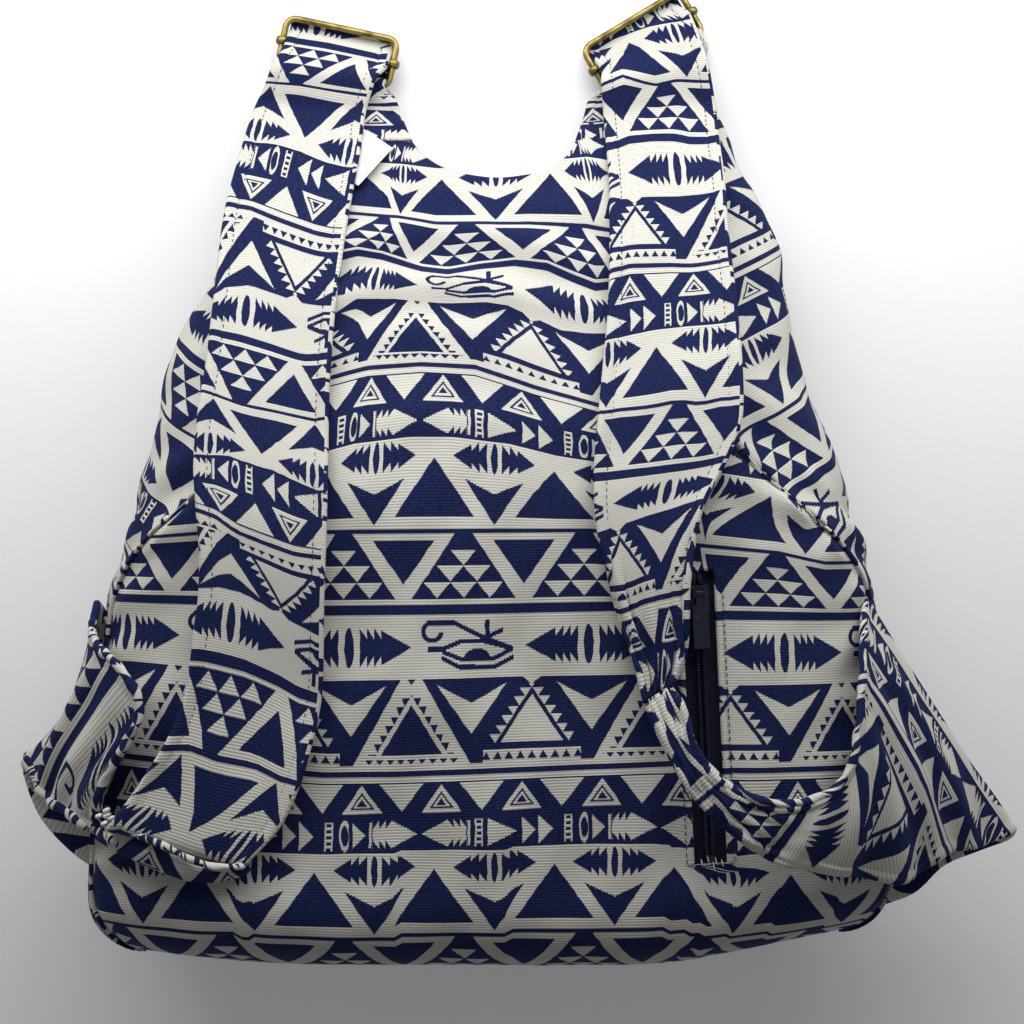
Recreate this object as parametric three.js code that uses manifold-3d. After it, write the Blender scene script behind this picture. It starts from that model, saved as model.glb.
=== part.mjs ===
// Fabric backpack with a vest-shaped top, lying on its front with its straps up.
// Millimetres. +Z is up from the floor, +Y runs to the shoulders and +X to the right of the back.
import * as THREE from "three";
import Module from "manifold-3d";
import { mergeVertices } from "three/addons/utils/BufferGeometryUtils.js";

const wasm = await Module();
wasm.setup();

// Body
const BAG_HEIGHT = 367; // bottom to neckline
const SHOULDER_RISE = 29; // neckline to the end of the shoulders
const BOTTOM_WIDTH = 372;
const SHOULDER_SPAN = 206; // across the outer edges of both shoulders
const SIDE_TAPER_POWER = 2.4; // how late the sides draw in
const BAG_DEPTH = 116; // before the front is pressed flat
const SHOULDER_DEPTH = 20;
const FULL_DEPTH_LENGTH = 196; // from the bottom to where the bag starts to thin
const DEPTH_TAPER_POWER = 1.6;
const SECTION_POWER = 3.2; // squareness of the cross-section
const SETTLE = 3; // how far the weight presses the front flat
const END_ROUND_LENGTH = 34;
const END_ROUND_WIDTH = 22;
const END_ROUND_DEPTH = 30;
const TOP_REACH = 0.985; // share of the half-width that counts as the top face
const SEAM_ANGLE = THREE.MathUtils.degToRad(18); // where the gussets meet the panels
const SHOULDER_SEAM_ANGLE = THREE.MathUtils.degToRad(60); // gussets brought over the back, under the straps
const SEAM_TURN_START = 153.5; // from the bottom to where the back seams start to run inwards
const SEAM_TURN_END = 245.5;
const WALL = 2.4; // cloth and lining
const SEAM_GAP = 0.5;
const END_STEPS = 4;
const LENGTH_STEPS = 15;
const BACK_STEPS = 18;
const FRONT_STEPS = 12;
const GUSSET_STEPS = 8;

// Neckline
const NECK_CENTRE_X = 2;
const NECK_WIDTH = 74;
const NECK_TOP_WIDTH = 92;
const NECK_CORNER = 20;
const NECK_SEGMENTS = 6;
const CUT_MARGIN = 20; // how far a cutting solid runs past what it cuts

// Zip on the back panel
const ZIP_X = 93;
const ZIP_MIDDLE_RISE = 113.6; // from the bottom
const ZIP_LENGTH = 128;
const ZIP_SLANT = THREE.MathUtils.degToRad(2.8);
const SLIT_WIDTH = 15;
const TAPE_OVERLAP = 6; // tape beyond each edge of the slit
const TAPE_THICKNESS = 0.9;
const TAPE_CLEARANCE = 0.8; // under the panel's curved inner face
const COIL_WIDTH = 2.1;
const COIL_HEIGHT = 2;
const COIL_CORNER = 0.6;
const STOP_LENGTH = 3;
const STOP_WIDTH = 1.9;
const STOP_HEIGHT = 1.4;
const SLIDER_WIDTH = 9;
const SLIDER_LENGTH = 12;
const SLIDER_PLATE = 1.2;
const SLIDER_FLANGE = 1.4;
const SLIDER_CLEARANCE = 0.4;
const SLIDER_TOP_MARGIN = 6; // from the slit's top end to the slider
const LUG_THICKNESS = 1;
const LUG_LENGTH = 3.4;
const LUG_HEIGHT = 3.4;
const PIN_RADIUS = 0.6;
const PIN_RISE = 2.2; // pin axis above the slider's plate
const PIN_OFFSET = 2.5; // pin axis towards the top of the zip
const PULL_LENGTH = 24;
const PULL_WIDTH = 7;
const PULL_NECK_WIDTH = 3.2;
const PULL_NECK_LENGTH = 5;
const PULL_THICKNESS = 1.2;
const PULL_EYE_RADIUS = 1.5;
const PULL_CLEARANCE = 0.3;

// Brass buckles
const STRAP_WIDTH = 50;
const STRAP_BUCKLE_WIDTH = 46; // drawn in between the bar's crimped eyes
const STRAP_THICKNESS = 2.6;
const FRAME_INNER_WIDTH = 52;
const BAR_SPACING = 12; // centre bar to top and bottom bars
const WIRE_RADIUS = 1.6;
const FRAME_CORNER = 5;
const BAR_RADIUS = 1.5;
const EYE_WALL = 1.2;
const EYE_LENGTH = 4;
const EYE_CLEARANCE = 0.3;
const CLOTH_CLEARANCE = 0.4;
const WIRE_SIDES = 8;
const ROUND_SIDES = 14; // pins, eyes and their holes
const CORNER_STEPS = 4;
const BUCKLES = { // reach is from the end of the shoulders
  left: { x: -76.3, reach: 32.5, z: 9.4, turn: THREE.MathUtils.degToRad(-12) },
  right: { x: 73.2, reach: 38, z: 9.4, turn: THREE.MathUtils.degToRad(31) },
};
const STRAP_TAIL = 20; // turned-back end behind the buckle
const STRAP_LEAD = 19; // straight run in front of the buckle

// Shoulder loops
const LOOP_WIDTH = 42;
const LOOP_THICKNESS = 1.6;
const LOOP_SLACK = 7; // room for the buckle's lower bar to slide in
const LOOP_INSERT = 6; // how far it reaches into the shoulder
const LOOP_HALF_RISE = 2; // between its layers and the middle of the shoulder
const LOOP_CENTRE_X = { left: -73.5, right: 73.5 };
const LOOP_LEVEL_RUN = 2; // run past the shoulder before it leads to the buckle

// Strap centre lines on the back. Upper points are x, drop from the end of the shoulders, width and
// gap to the panel, and lower points are x, rise from the bottom, width and gap.
const STRAP_GAP = 9;
const STRAP_STEPS = 18;
const CLOTH_COLUMNS = 6;
const TURN_STEPS = 3;
const LEFT_ROUTE = {
  upper: [
    [-89, 10.5, STRAP_WIDTH, STRAP_GAP],
    [-94, 46.5, STRAP_WIDTH, STRAP_GAP],
    [-98, 97.5, STRAP_WIDTH, STRAP_GAP],
  ],
  lower: [
    [-99, 252.5, STRAP_WIDTH, STRAP_GAP],
    [-99, 208.5, STRAP_WIDTH, STRAP_GAP],
    [-101, 165.5, STRAP_WIDTH, STRAP_GAP],
    [-104, 125.5, STRAP_WIDTH, STRAP_GAP + 2],
    [-114, 93.5, STRAP_WIDTH + 6, STRAP_GAP + 5],
    [-132, 63.5, STRAP_WIDTH + 8, STRAP_GAP + 7],
  ],
};
const RIGHT_ROUTE = {
  upper: [
    [78, 0.5, STRAP_WIDTH, STRAP_GAP],
    [81, 46.5, STRAP_WIDTH, STRAP_GAP],
    [80, 97.5, STRAP_WIDTH, STRAP_GAP],
  ],
  lower: [
    [77, 252.5, STRAP_WIDTH, STRAP_GAP],
    [70, 208.5, STRAP_WIDTH - 4, STRAP_GAP],
    [67, 181.5, STRAP_WIDTH - 12, STRAP_GAP + 1],
    [67, 163.5, STRAP_WIDTH - 22, STRAP_GAP + 2],
    [70, 145.5, STRAP_WIDTH - 28, STRAP_GAP + 3],
    [76, 126.5, STRAP_WIDTH - 30, STRAP_GAP + 4],
  ],
};
const LEFT_FOLD_TURN = THREE.MathUtils.degToRad(-18.5); // slant of the left strap's bottom fold
const LEFT_FOLD_RADIUS = 4.2;
const LEFT_HEM = 22; // turned-under end of the left strap

// Anchor tabs: edge points as [x, rise from the bottom, height over the back's crown], from the strap
// to the fold. The x of seam points is measured from the side seam, outwards.
const TAB_THICKNESS = 2.4;
const TAB_GAP = 6;
const TAB_STEPS = 12;
const TAB_FOLD_INNER = 2.6;
const TAB_FOLD_OUTER = 5;
const TAB_SEAM_TOP_RISE = 151.5;
const TAB_SEAM_BOTTOM_RISE = 35.5;
const RIGHT_TAB = {
  side: 1,
  strapInner: [[89, 104.5, 14], [101, 84.5, 14], [122, 78.5, 13]],
  strapOuter: [[77, 100.5, 14], [91, 82.5, 14], [114, 60.5, 12]],
  seamInner: [[-35, 80.5, 10], [-23, 91.5, 6], [-14, 123.5, 1], [5.5, 161.5, -27]],
  seamOuter: [[-25, 43.5, 4], [11, 41.5, -18], [38, 49.5, -36], [63, 56.5, -52]],
};
const LEFT_TAB = {
  side: -1,
  strapInner: [[-146, 87.5, -14], [-158, 85.5, -14]],
  strapOuter: [[-142, 75.5, -14], [-156, 69.5, -14]],
  seamInner: [[-4, 83.5, 0], [-10, 97.5, 2], [-17, 113.5, 3], [-11, 135.5, -6], [5.5, 159.5, -27]],
  seamOuter: [[4, 63.5, -12], [17, 66.5, -22], [28, 72.5, -34], [35, 80.5, -46], [39, 89.5, -52]],
};

// Blank swing tag lying on the shoulder under the left strap
const TAG_LENGTH = 40;
const TAG_WIDTH = 26;
const TAG_THICKNESS = 0.5;
const TAG_CENTRE = { x: -67, drop: 30.5 }; // from the end of the shoulders
const TAG_TURN = THREE.MathUtils.degToRad(-24);
const TAG_GAP = 0.7;

const bottomY = -BAG_HEIGHT / 2;
const neckY = BAG_HEIGHT / 2;
const shoulderY = neckY + SHOULDER_RISE;
const roundY = bottomY + END_ROUND_LENGTH;
const crownZ = BAG_DEPTH - SETTLE;

const clothColour = 0x7c82a0;
const backpack = new THREE.Group();

function addPiece(name, geometry, colour, roughness, metalness, parent = backpack) {
  const material = new THREE.MeshStandardMaterial({ color: colour, roughness, metalness });
  const mesh = new THREE.Mesh(geometry, material);
  mesh.name = name;
  parent.add(mesh);
  return mesh;
}

function addCloth(name, geometry) {
  return addPiece(name, geometry, clothColour, 0.9, 0);
}

// Solids for cutting and joining
function solidOf(geometry) {
  const bare = geometry.clone();
  bare.deleteAttribute("normal");
  bare.deleteAttribute("uv");
  const merged = mergeVertices(bare, 1e-4);
  const vertProperties = new Float32Array(merged.attributes.position.array);
  const triVerts = new Uint32Array(merged.index.array);
  return new wasm.Manifold(new wasm.Mesh({ numProp: 3, vertProperties, triVerts }));
}

function geometryOf(solid) {
  const mesh = solid.getMesh();
  const geometry = new THREE.BufferGeometry();
  geometry.setAttribute("position", new THREE.BufferAttribute(mesh.vertProperties, 3));
  geometry.setIndex(new THREE.BufferAttribute(mesh.triVerts, 1));
  geometry.computeVertexNormals();
  return geometry;
}

function joined(...geometries) {
  return geometryOf(geometries.map(solidOf).reduce((sum, next) => sum.add(next)));
}

function cut(geometry, ...cutters) {
  return geometryOf(cutters.map(solidOf).reduce((rest, next) => rest.subtract(next), solidOf(geometry)));
}

function boxBetween(low, high) {
  const size = high.map((value, axis) => value - low[axis]);
  const box = new THREE.BoxGeometry(...size);
  return box.translate(...low.map((value, axis) => value + size[axis] / 2));
}

// A closed sheet between two grids of points
function sheetBetween(outer, inner) {
  const rows = outer.length;
  const columns = outer[0].length;
  const positions = [];
  for (const grid of [outer, inner]) {
    for (const row of grid) {
      for (const point of row) positions.push(point.x, point.y, point.z);
    }
  }
  const face = (layer, row, column) => layer * rows * columns + row * columns + column;
  const index = [];
  const quad = (a, b, c, d) => index.push(a, b, c, a, c, d);
  for (let row = 0; row < rows - 1; row++) {
    for (let column = 0; column < columns - 1; column++) {
      const corners = [[row, column], [row + 1, column], [row + 1, column + 1], [row, column + 1]];
      quad(...corners.map(([r, c]) => face(0, r, c)));
      quad(...corners.reverse().map(([r, c]) => face(1, r, c)));
    }
  }
  const rim = [];
  for (let row = 0; row < rows - 1; row++) rim.push([row, 0]);
  for (let column = 0; column < columns - 1; column++) rim.push([rows - 1, column]);
  for (let row = rows - 1; row > 0; row--) rim.push([row, columns - 1]);
  for (let column = columns - 1; column > 0; column--) rim.push([0, column]);
  rim.forEach(([row, column], k) => {
    const [nextRow, nextColumn] = rim[(k + 1) % rim.length];
    const edge = (layer) => [face(layer, row, column), face(layer, nextRow, nextColumn)];
    const [outerEdge, innerEdge] = [edge(0), edge(1)];
    quad(outerEdge[1], outerEdge[0], innerEdge[0], innerEdge[1]);
  });
  const geometry = new THREE.BufferGeometry();
  geometry.setAttribute("position", new THREE.Float32BufferAttribute(positions, 3));
  geometry.setIndex(index);
  if (signedVolume(positions, index) < 0) geometry.setIndex(index.slice().reverse());
  geometry.computeVertexNormals();
  return geometry;
}

function signedVolume(positions, index) {
  const at = (k) => new THREE.Vector3().fromArray(positions, index[k] * 3);
  let volume = 0;
  for (let k = 0; k < index.length; k += 3) volume += at(k).dot(at(k + 1).cross(at(k + 2)));
  return volume;
}

function gridNormal(grid, row, column) {
  const before = grid[Math.max(row - 1, 0)][column];
  const after = grid[Math.min(row + 1, grid.length - 1)][column];
  const left = grid[row][Math.max(column - 1, 0)];
  const right = grid[row][Math.min(column + 1, grid[row].length - 1)];
  return after.clone().sub(before).cross(right.clone().sub(left)).normalize();
}

// Cloth of even thickness about a grid that is its middle surface
function clothAbout(grid, thickness) {
  const offset = (distance) =>
    grid.map((points, row) =>
      points.map((point, column) => point.clone().addScaledVector(gridNormal(grid, row, column), distance)));
  return sheetBetween(offset(thickness / 2), offset(-thickness / 2));
}

// Body surface
function halfWidthAt(y) {
  const share = THREE.MathUtils.clamp((y - bottomY) / (shoulderY - bottomY), 0, 1);
  const spread = (BOTTOM_WIDTH - SHOULDER_SPAN) / 2;
  return SHOULDER_SPAN / 2 + spread * (1 - share ** SIDE_TAPER_POWER);
}

function depthAt(y) {
  const taperStart = bottomY + FULL_DEPTH_LENGTH;
  const share = THREE.MathUtils.clamp((y - taperStart) / (shoulderY - taperStart), 0, 1);
  return SHOULDER_DEPTH + (BAG_DEPTH - SHOULDER_DEPTH) * (1 - share ** DEPTH_TAPER_POWER);
}

function signedPower(value, power) {
  return Math.sign(value) * Math.abs(value) ** power;
}

function sectionPoint(station, angle) {
  const across = signedPower(Math.cos(angle), 2 / SECTION_POWER);
  const up = signedPower(Math.sin(angle), 2 / SECTION_POWER);
  const z = station.middle + station.halfDepth * up - SETTLE;
  return new THREE.Vector3(station.halfWidth * across, station.y, Math.max(z, 0));
}

function stationAt(y) {
  const halfDepth = depthAt(y) / 2;
  return { y, halfWidth: halfWidthAt(y), halfDepth, middle: halfDepth };
}

function bodyStations() {
  const stations = [];
  for (let step = END_STEPS; step > 0; step--) {
    const angle = (step / END_STEPS) * (Math.PI / 2);
    const inset = 1 - Math.cos(angle);
    const full = stationAt(roundY);
    stations.push({
      y: roundY - END_ROUND_LENGTH * Math.sin(angle),
      halfWidth: full.halfWidth - END_ROUND_WIDTH * inset,
      halfDepth: full.halfDepth - END_ROUND_DEPTH * inset,
      middle: full.middle,
    });
  }
  for (let step = 0; step <= LENGTH_STEPS; step++) {
    stations.push(stationAt(roundY + (step / LENGTH_STEPS) * (shoulderY - roundY)));
  }
  return stations;
}

function backSeamAngle(y) {
  const share = THREE.MathUtils.smoothstep(y, bottomY + SEAM_TURN_START, bottomY + SEAM_TURN_END);
  return THREE.MathUtils.lerp(SEAM_ANGLE, SHOULDER_SEAM_ANGLE, share);
}

// Angles across a broad face, close together towards its seams
function faceAngles(seamAngle, steps) {
  const reach = Math.cos(seamAngle) ** (2 / SECTION_POWER);
  const angles = [];
  for (let step = 0; step <= steps; step++) {
    const share = reach * Math.sin((0.5 - step / steps) * Math.PI);
    const angle = Math.acos(Math.abs(share) ** (SECTION_POWER / 2));
    angles.push(share >= 0 ? angle : Math.PI - angle);
  }
  return angles;
}

// Angles across a gusset, from the front panel's seam to the back panel's
function sideAngles(seamAngle) {
  const angles = [];
  for (let step = 0; step <= GUSSET_STEPS; step++) {
    angles.push(THREE.MathUtils.lerp(-SEAM_ANGLE, seamAngle, step / GUSSET_STEPS));
  }
  return angles;
}

function panelAngles(y) {
  const seamAngle = backSeamAngle(y);
  const side = sideAngles(seamAngle);
  return {
    right_gusset: side,
    back_panel: faceAngles(seamAngle, BACK_STEPS),
    left_gusset: side.map((angle) => Math.PI - angle).reverse(),
    front_panel: faceAngles(SEAM_ANGLE, FRONT_STEPS).map((angle) => angle + Math.PI),
  };
}

// Each panel stops half a seam gap short of the seam
function panelRow(station, angles) {
  const last = angles.length - 1;
  const reach = 1e-3;
  return angles.map((angle, column) => {
    const inward = column === 0 ? 1 : column === last ? -1 : 0;
    const chord = sectionPoint(station, angle + reach).distanceTo(sectionPoint(station, angle - reach));
    return sectionPoint(station, angle + (inward * SEAM_GAP * reach) / chord);
  });
}

const stations = bodyStations();
const ringColumns = Object.entries(panelAngles(bottomY))
  .flatMap(([panel, angles]) => angles.map(() => panel));
const bodyGrid = stations.map((station) =>
  Object.values(panelAngles(station.y)).flatMap((angles) => panelRow(station, angles)));

// The next column round the ring, past the far side of a seam
function neighbourColumn(column, step) {
  const count = ringColumns.length;
  const next = (column + step + count) % count;
  return ringColumns[next] === ringColumns[column] ? next : (next + step + count) % count;
}

function ringNormal(row, column) {
  if (row === 0) return new THREE.Vector3(0, -1, 0);
  const nextRow = Math.min(row + 1, stations.length - 1);
  const along = bodyGrid[nextRow][column].clone().sub(bodyGrid[row - 1][column]);
  const ring = bodyGrid[row];
  const round = ring[neighbourColumn(column, 1)].clone().sub(ring[neighbourColumn(column, -1)]);
  return along.cross(round).normalize();
}

function bodyInset(distance) {
  return bodyGrid.map((points, row) =>
    points.map((point, column) => point.clone().addScaledVector(ringNormal(row, column), -distance)));
}

function panelSheet(panel) {
  const keep = (grid) => grid.map((points) => points.filter((_, column) => ringColumns[column] === panel));
  return sheetBetween(keep(bodyGrid), keep(bodyInset(WALL)));
}

// The hollow inside the walls as one solid
function innerSolid() {
  const rings = bodyInset(WALL + SEAM_GAP);
  const count = ringColumns.length;
  const positions = [];
  const index = [];
  for (const ring of rings) ring.forEach((point) => positions.push(point.x, point.y, point.z));
  for (let row = 0; row < rings.length - 1; row++) {
    for (let column = 0; column < count; column++) {
      const next = (column + 1) % count;
      const [a, b] = [row * count + column, (row + 1) * count + column];
      const [c, d] = [(row + 1) * count + next, row * count + next];
      index.push(a, b, c, a, c, d);
    }
  }
  for (const row of [0, rings.length - 1]) {
    const middle = positions.length / 3;
    const centre = rings[row].reduce((sum, point) => sum.add(point), new THREE.Vector3()).divideScalar(count);
    positions.push(centre.x, centre.y, centre.z);
    for (let column = 0; column < count; column++) {
      const [a, b] = [row * count + column, row * count + (column + 1) % count];
      index.push(middle, ...(row === 0 ? [a, b] : [b, a]));
    }
  }
  const geometry = new THREE.BufferGeometry();
  geometry.setAttribute("position", new THREE.Float32BufferAttribute(positions, 3));
  geometry.setIndex(index);
  return geometry;
}

function panelTop(x, y) {
  const station = stationAt(y);
  const share = Math.min(Math.abs(x) / station.halfWidth, TOP_REACH);
  const up = (1 - share ** SECTION_POWER) ** (1 / SECTION_POWER);
  return station.middle + station.halfDepth * up - SETTLE;
}

// Point on a side seam of the back panel, and the outward direction there
function sideSeam(side, y) {
  const station = stationAt(y);
  const at = (angle) => sectionPoint(station, angle).multiply(new THREE.Vector3(side, 1, 1));
  const reach = 1e-3;
  const round = at(SEAM_ANGLE + reach).sub(at(SEAM_ANGLE - reach));
  const normal = new THREE.Vector3(side * round.z, 0, -side * round.x).normalize();
  if (normal.z < 0) normal.z = -normal.z;
  return { point: at(SEAM_ANGLE), normal };
}

function neckOutline(grow) {
  const half = NECK_WIDTH / 2 + grow;
  const halfTop = NECK_TOP_WIDTH / 2 + grow;
  const low = neckY - grow;
  const high = shoulderY + CUT_MARGIN;
  const slope = (halfTop - half) / SHOULDER_RISE;
  const halfHigh = halfTop + slope * CUT_MARGIN;
  const shape = new THREE.Shape();
  shape.moveTo(-halfHigh, high);
  shape.lineTo(-half - slope * NECK_CORNER, low + NECK_CORNER);
  shape.quadraticCurveTo(-half, low, -half + NECK_CORNER, low);
  shape.lineTo(half - NECK_CORNER, low);
  shape.quadraticCurveTo(half, low, half + slope * NECK_CORNER, low + NECK_CORNER);
  shape.lineTo(halfHigh, high);
  shape.closePath();
  return shape;
}

function neckSolid(grow) {
  const depth = BAG_DEPTH + 2 * CUT_MARGIN;
  const options = { depth, bevelEnabled: false, curveSegments: NECK_SEGMENTS };
  return new THREE.ExtrudeGeometry(neckOutline(grow), options).translate(NECK_CENTRE_X, 0, -CUT_MARGIN);
}

// Zip frame: x across the zip, y along it to its top end, z out of the panel
const zipMiddleY = bottomY + ZIP_MIDDLE_RISE;
const zipRise = panelTop(ZIP_X + SLIT_WIDTH / 2, zipMiddleY) - panelTop(ZIP_X - SLIT_WIDTH / 2, zipMiddleY);
const zip = new THREE.Group();
zip.position.set(ZIP_X, zipMiddleY, panelTop(ZIP_X, zipMiddleY));
zip.rotation.set(0, Math.atan2(-zipRise, SLIT_WIDTH), ZIP_SLANT, "ZYX");
zip.updateMatrix();

function slitSolid() {
  const slit = new THREE.BoxGeometry(SLIT_WIDTH, ZIP_LENGTH, 2 * CUT_MARGIN);
  return slit.applyMatrix4(zip.matrix);
}

function addBody() {
  addCloth("back_panel", cut(panelSheet("back_panel"), neckSolid(0), slitSolid()));
  addCloth("front_panel", cut(panelSheet("front_panel"), neckSolid(0)));
  addCloth("left_gusset", panelSheet("left_gusset"));
  addCloth("right_gusset", panelSheet("right_gusset"));

  const end = stations[0];
  const outline = new THREE.Shape();
  const endPoints = bodyGrid[0].map((point) => {
    const shrinkX = 1 - SEAM_GAP / end.halfWidth;
    const shrinkZ = 1 - SEAM_GAP / end.halfDepth;
    const middle = end.middle - SETTLE;
    return new THREE.Vector2(point.x * shrinkX, middle + (point.z - middle) * shrinkZ);
  });
  outline.setFromPoints(endPoints);
  const plate = new THREE.ExtrudeGeometry(outline, { depth: WALL, bevelEnabled: false });
  plate.rotateX(Math.PI / 2).translate(0, bottomY + WALL, 0);
  addCloth("bottom_panel", plate);

  const strip = solidOf(neckSolid(SEAM_GAP + WALL)).subtract(solidOf(neckSolid(SEAM_GAP)));
  addCloth("neckline_facing", geometryOf(strip.intersect(solidOf(innerSolid()))));
}

function addZip() {
  backpack.add(zip);
  const metal = [0x1b2140, 0.45, 0.6];
  const half = ZIP_LENGTH / 2;
  const tapeTop = -WALL - TAPE_CLEARANCE;
  const tapeHalf = SLIT_WIDTH / 2 + TAPE_OVERLAP;
  const coilFoot = tapeTop + SEAM_GAP;
  const coilTop = coilFoot + COIL_HEIGHT;
  const coilInset = STOP_LENGTH + 2 * SEAM_GAP;
  const coilShape = new THREE.Shape([
    [0, 0],
    [COIL_WIDTH, 0],
    [COIL_WIDTH, COIL_HEIGHT - COIL_CORNER],
    [COIL_WIDTH - COIL_CORNER, COIL_HEIGHT],
    [0, COIL_HEIGHT],
  ].map(([x, y]) => new THREE.Vector2(x, y)));
  for (const [name, side] of [["left", -1], ["right", 1]]) {
    const edges = [side * SEAM_GAP / 2, side * tapeHalf].sort((a, b) => a - b);
    const tape = boxBetween([edges[0], -half - TAPE_OVERLAP, tapeTop - TAPE_THICKNESS],
      [edges[1], half + TAPE_OVERLAP, tapeTop]);
    addPiece(`zip_tape_${name}`, tape, 0x151a38, 0.9, 0, zip);

    const depth = ZIP_LENGTH - 2 * coilInset;
    const coil = new THREE.ExtrudeGeometry(coilShape, { depth, bevelEnabled: false });
    coil.rotateX(Math.PI / 2).translate(SEAM_GAP / 2, half - coilInset, coilFoot);
    if (side < 0) coil.rotateZ(Math.PI);
    addPiece(`zip_coil_${name}`, coil, 0x20284e, 0.5, 0, zip);

    const stopEdges = [side * SEAM_GAP / 2, side * (SEAM_GAP / 2 + STOP_WIDTH)].sort((a, b) => a - b);
    const stop = boxBetween([stopEdges[0], half - SEAM_GAP - STOP_LENGTH, coilFoot],
      [stopEdges[1], half - SEAM_GAP, coilFoot + STOP_HEIGHT]);
    addPiece(`zip_top_stop_${name}`, stop, ...metal, zip);
  }
  const bottomStop = boxBetween([-STOP_WIDTH, -half + SEAM_GAP, coilFoot],
    [STOP_WIDTH, -half + SEAM_GAP + STOP_LENGTH, coilFoot + STOP_HEIGHT]);
  addPiece("zip_bottom_stop", bottomStop, ...metal, zip);

  // The slider straddles the closed coils. Its pull hangs on a pin between two lugs.
  const slider = new THREE.Group();
  slider.position.set(0, half - SLIDER_TOP_MARGIN - SLIDER_LENGTH / 2, coilTop + SLIDER_CLEARANCE);
  zip.add(slider);
  const halfWidth = SLIDER_WIDTH / 2;
  const halfLength = SLIDER_LENGTH / 2;
  const flangeDrop = -COIL_HEIGHT - SLIDER_CLEARANCE + SEAM_GAP;
  const pinZ = SLIDER_PLATE + PIN_RISE;
  const lugInner = PULL_NECK_WIDTH / 2 + PULL_CLEARANCE;
  const lugs = [-1, 1].flatMap((side) => {
    const flange = [side * halfWidth, side * (halfWidth - SLIDER_FLANGE)].sort((a, b) => a - b);
    const lug = [side * lugInner, side * (lugInner + LUG_THICKNESS)].sort((a, b) => a - b);
    return [
      boxBetween([flange[0], -halfLength, flangeDrop], [flange[1], halfLength, SLIDER_PLATE]),
      boxBetween([lug[0], PIN_OFFSET - LUG_LENGTH / 2, SLIDER_PLATE / 2],
        [lug[1], PIN_OFFSET + LUG_LENGTH / 2, SLIDER_PLATE + LUG_HEIGHT]),
    ];
  });
  const pin = new THREE.CylinderGeometry(PIN_RADIUS, PIN_RADIUS, 2 * lugInner + LUG_THICKNESS, ROUND_SIDES);
  pin.rotateZ(Math.PI / 2).translate(0, PIN_OFFSET, pinZ);
  const plate = boxBetween([-halfWidth, -halfLength, 0], [halfWidth, halfLength, SLIDER_PLATE]);
  addPiece("zip_slider", joined(plate, ...lugs, pin), ...metal, slider);

  const halfThick = PULL_THICKNESS / 2;
  const eye = new THREE.CylinderGeometry(PULL_EYE_RADIUS, PULL_EYE_RADIUS, PULL_NECK_WIDTH, ROUND_SIDES);
  eye.rotateZ(Math.PI / 2);
  const holeRadius = PIN_RADIUS + PULL_CLEARANCE;
  const hole = new THREE.CylinderGeometry(holeRadius, holeRadius, PULL_WIDTH, ROUND_SIDES);
  hole.rotateZ(Math.PI / 2);
  const neck = boxBetween([-PULL_NECK_WIDTH / 2, -PULL_NECK_LENGTH - halfThick, -halfThick],
    [PULL_NECK_WIDTH / 2, 0, halfThick]);
  const blade = boxBetween([-PULL_WIDTH / 2, -PULL_LENGTH, -halfThick],
    [PULL_WIDTH / 2, -PULL_NECK_LENGTH, halfThick]);
  const pull = cut(joined(eye, neck, blade), hole);
  addPiece("zip_pull", pull, ...metal, slider).position.set(0, PIN_OFFSET, pinZ);
}

// Wire of round section along a closed outline in the XY plane
function wireRing(outline, radius) {
  const rows = outline.map((point, k) => {
    const next = outline[(k + 1) % outline.length];
    const last = outline[(k + outline.length - 1) % outline.length];
    const along = next.clone().sub(last).normalize();
    const out = new THREE.Vector2(along.y, -along.x);
    const row = [];
    for (let side = 0; side < WIRE_SIDES; side++) {
      const angle = ((side + 0.5) / WIRE_SIDES) * 2 * Math.PI;
      const reach = radius * Math.cos(angle);
      row.push(point.x + out.x * reach, point.y + out.y * reach, radius * Math.sin(angle));
    }
    return row;
  });
  const index = [];
  rows.forEach((_, k) => {
    const next = (k + 1) % rows.length;
    for (let side = 0; side < WIRE_SIDES; side++) {
      const turn = (side + 1) % WIRE_SIDES;
      const [a, b] = [k * WIRE_SIDES + side, next * WIRE_SIDES + side];
      const [c, d] = [next * WIRE_SIDES + turn, k * WIRE_SIDES + turn];
      index.push(a, b, c, a, c, d);
    }
  });
  const geometry = new THREE.BufferGeometry();
  geometry.setAttribute("position", new THREE.Float32BufferAttribute(rows.flat(), 3));
  geometry.setIndex(signedVolume(rows.flat(), index) < 0 ? index.slice().reverse() : index);
  geometry.computeVertexNormals();
  return geometry;
}

const armX = FRAME_INNER_WIDTH / 2 + WIRE_RADIUS;

function frameOutline() {
  const points = [];
  for (const [signX, signY, start] of [[1, 1, 0], [-1, 1, 1], [-1, -1, 2], [1, -1, 3]]) {
    const centre = new THREE.Vector2(signX * (armX - FRAME_CORNER), signY * (BAR_SPACING - FRAME_CORNER));
    for (let step = 0; step <= CORNER_STEPS; step++) {
      const angle = (start + step / CORNER_STEPS) * (Math.PI / 2);
      const out = new THREE.Vector2(Math.cos(angle), Math.sin(angle));
      points.push(out.multiplyScalar(FRAME_CORNER).add(centre));
    }
  }
  return points;
}

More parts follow.
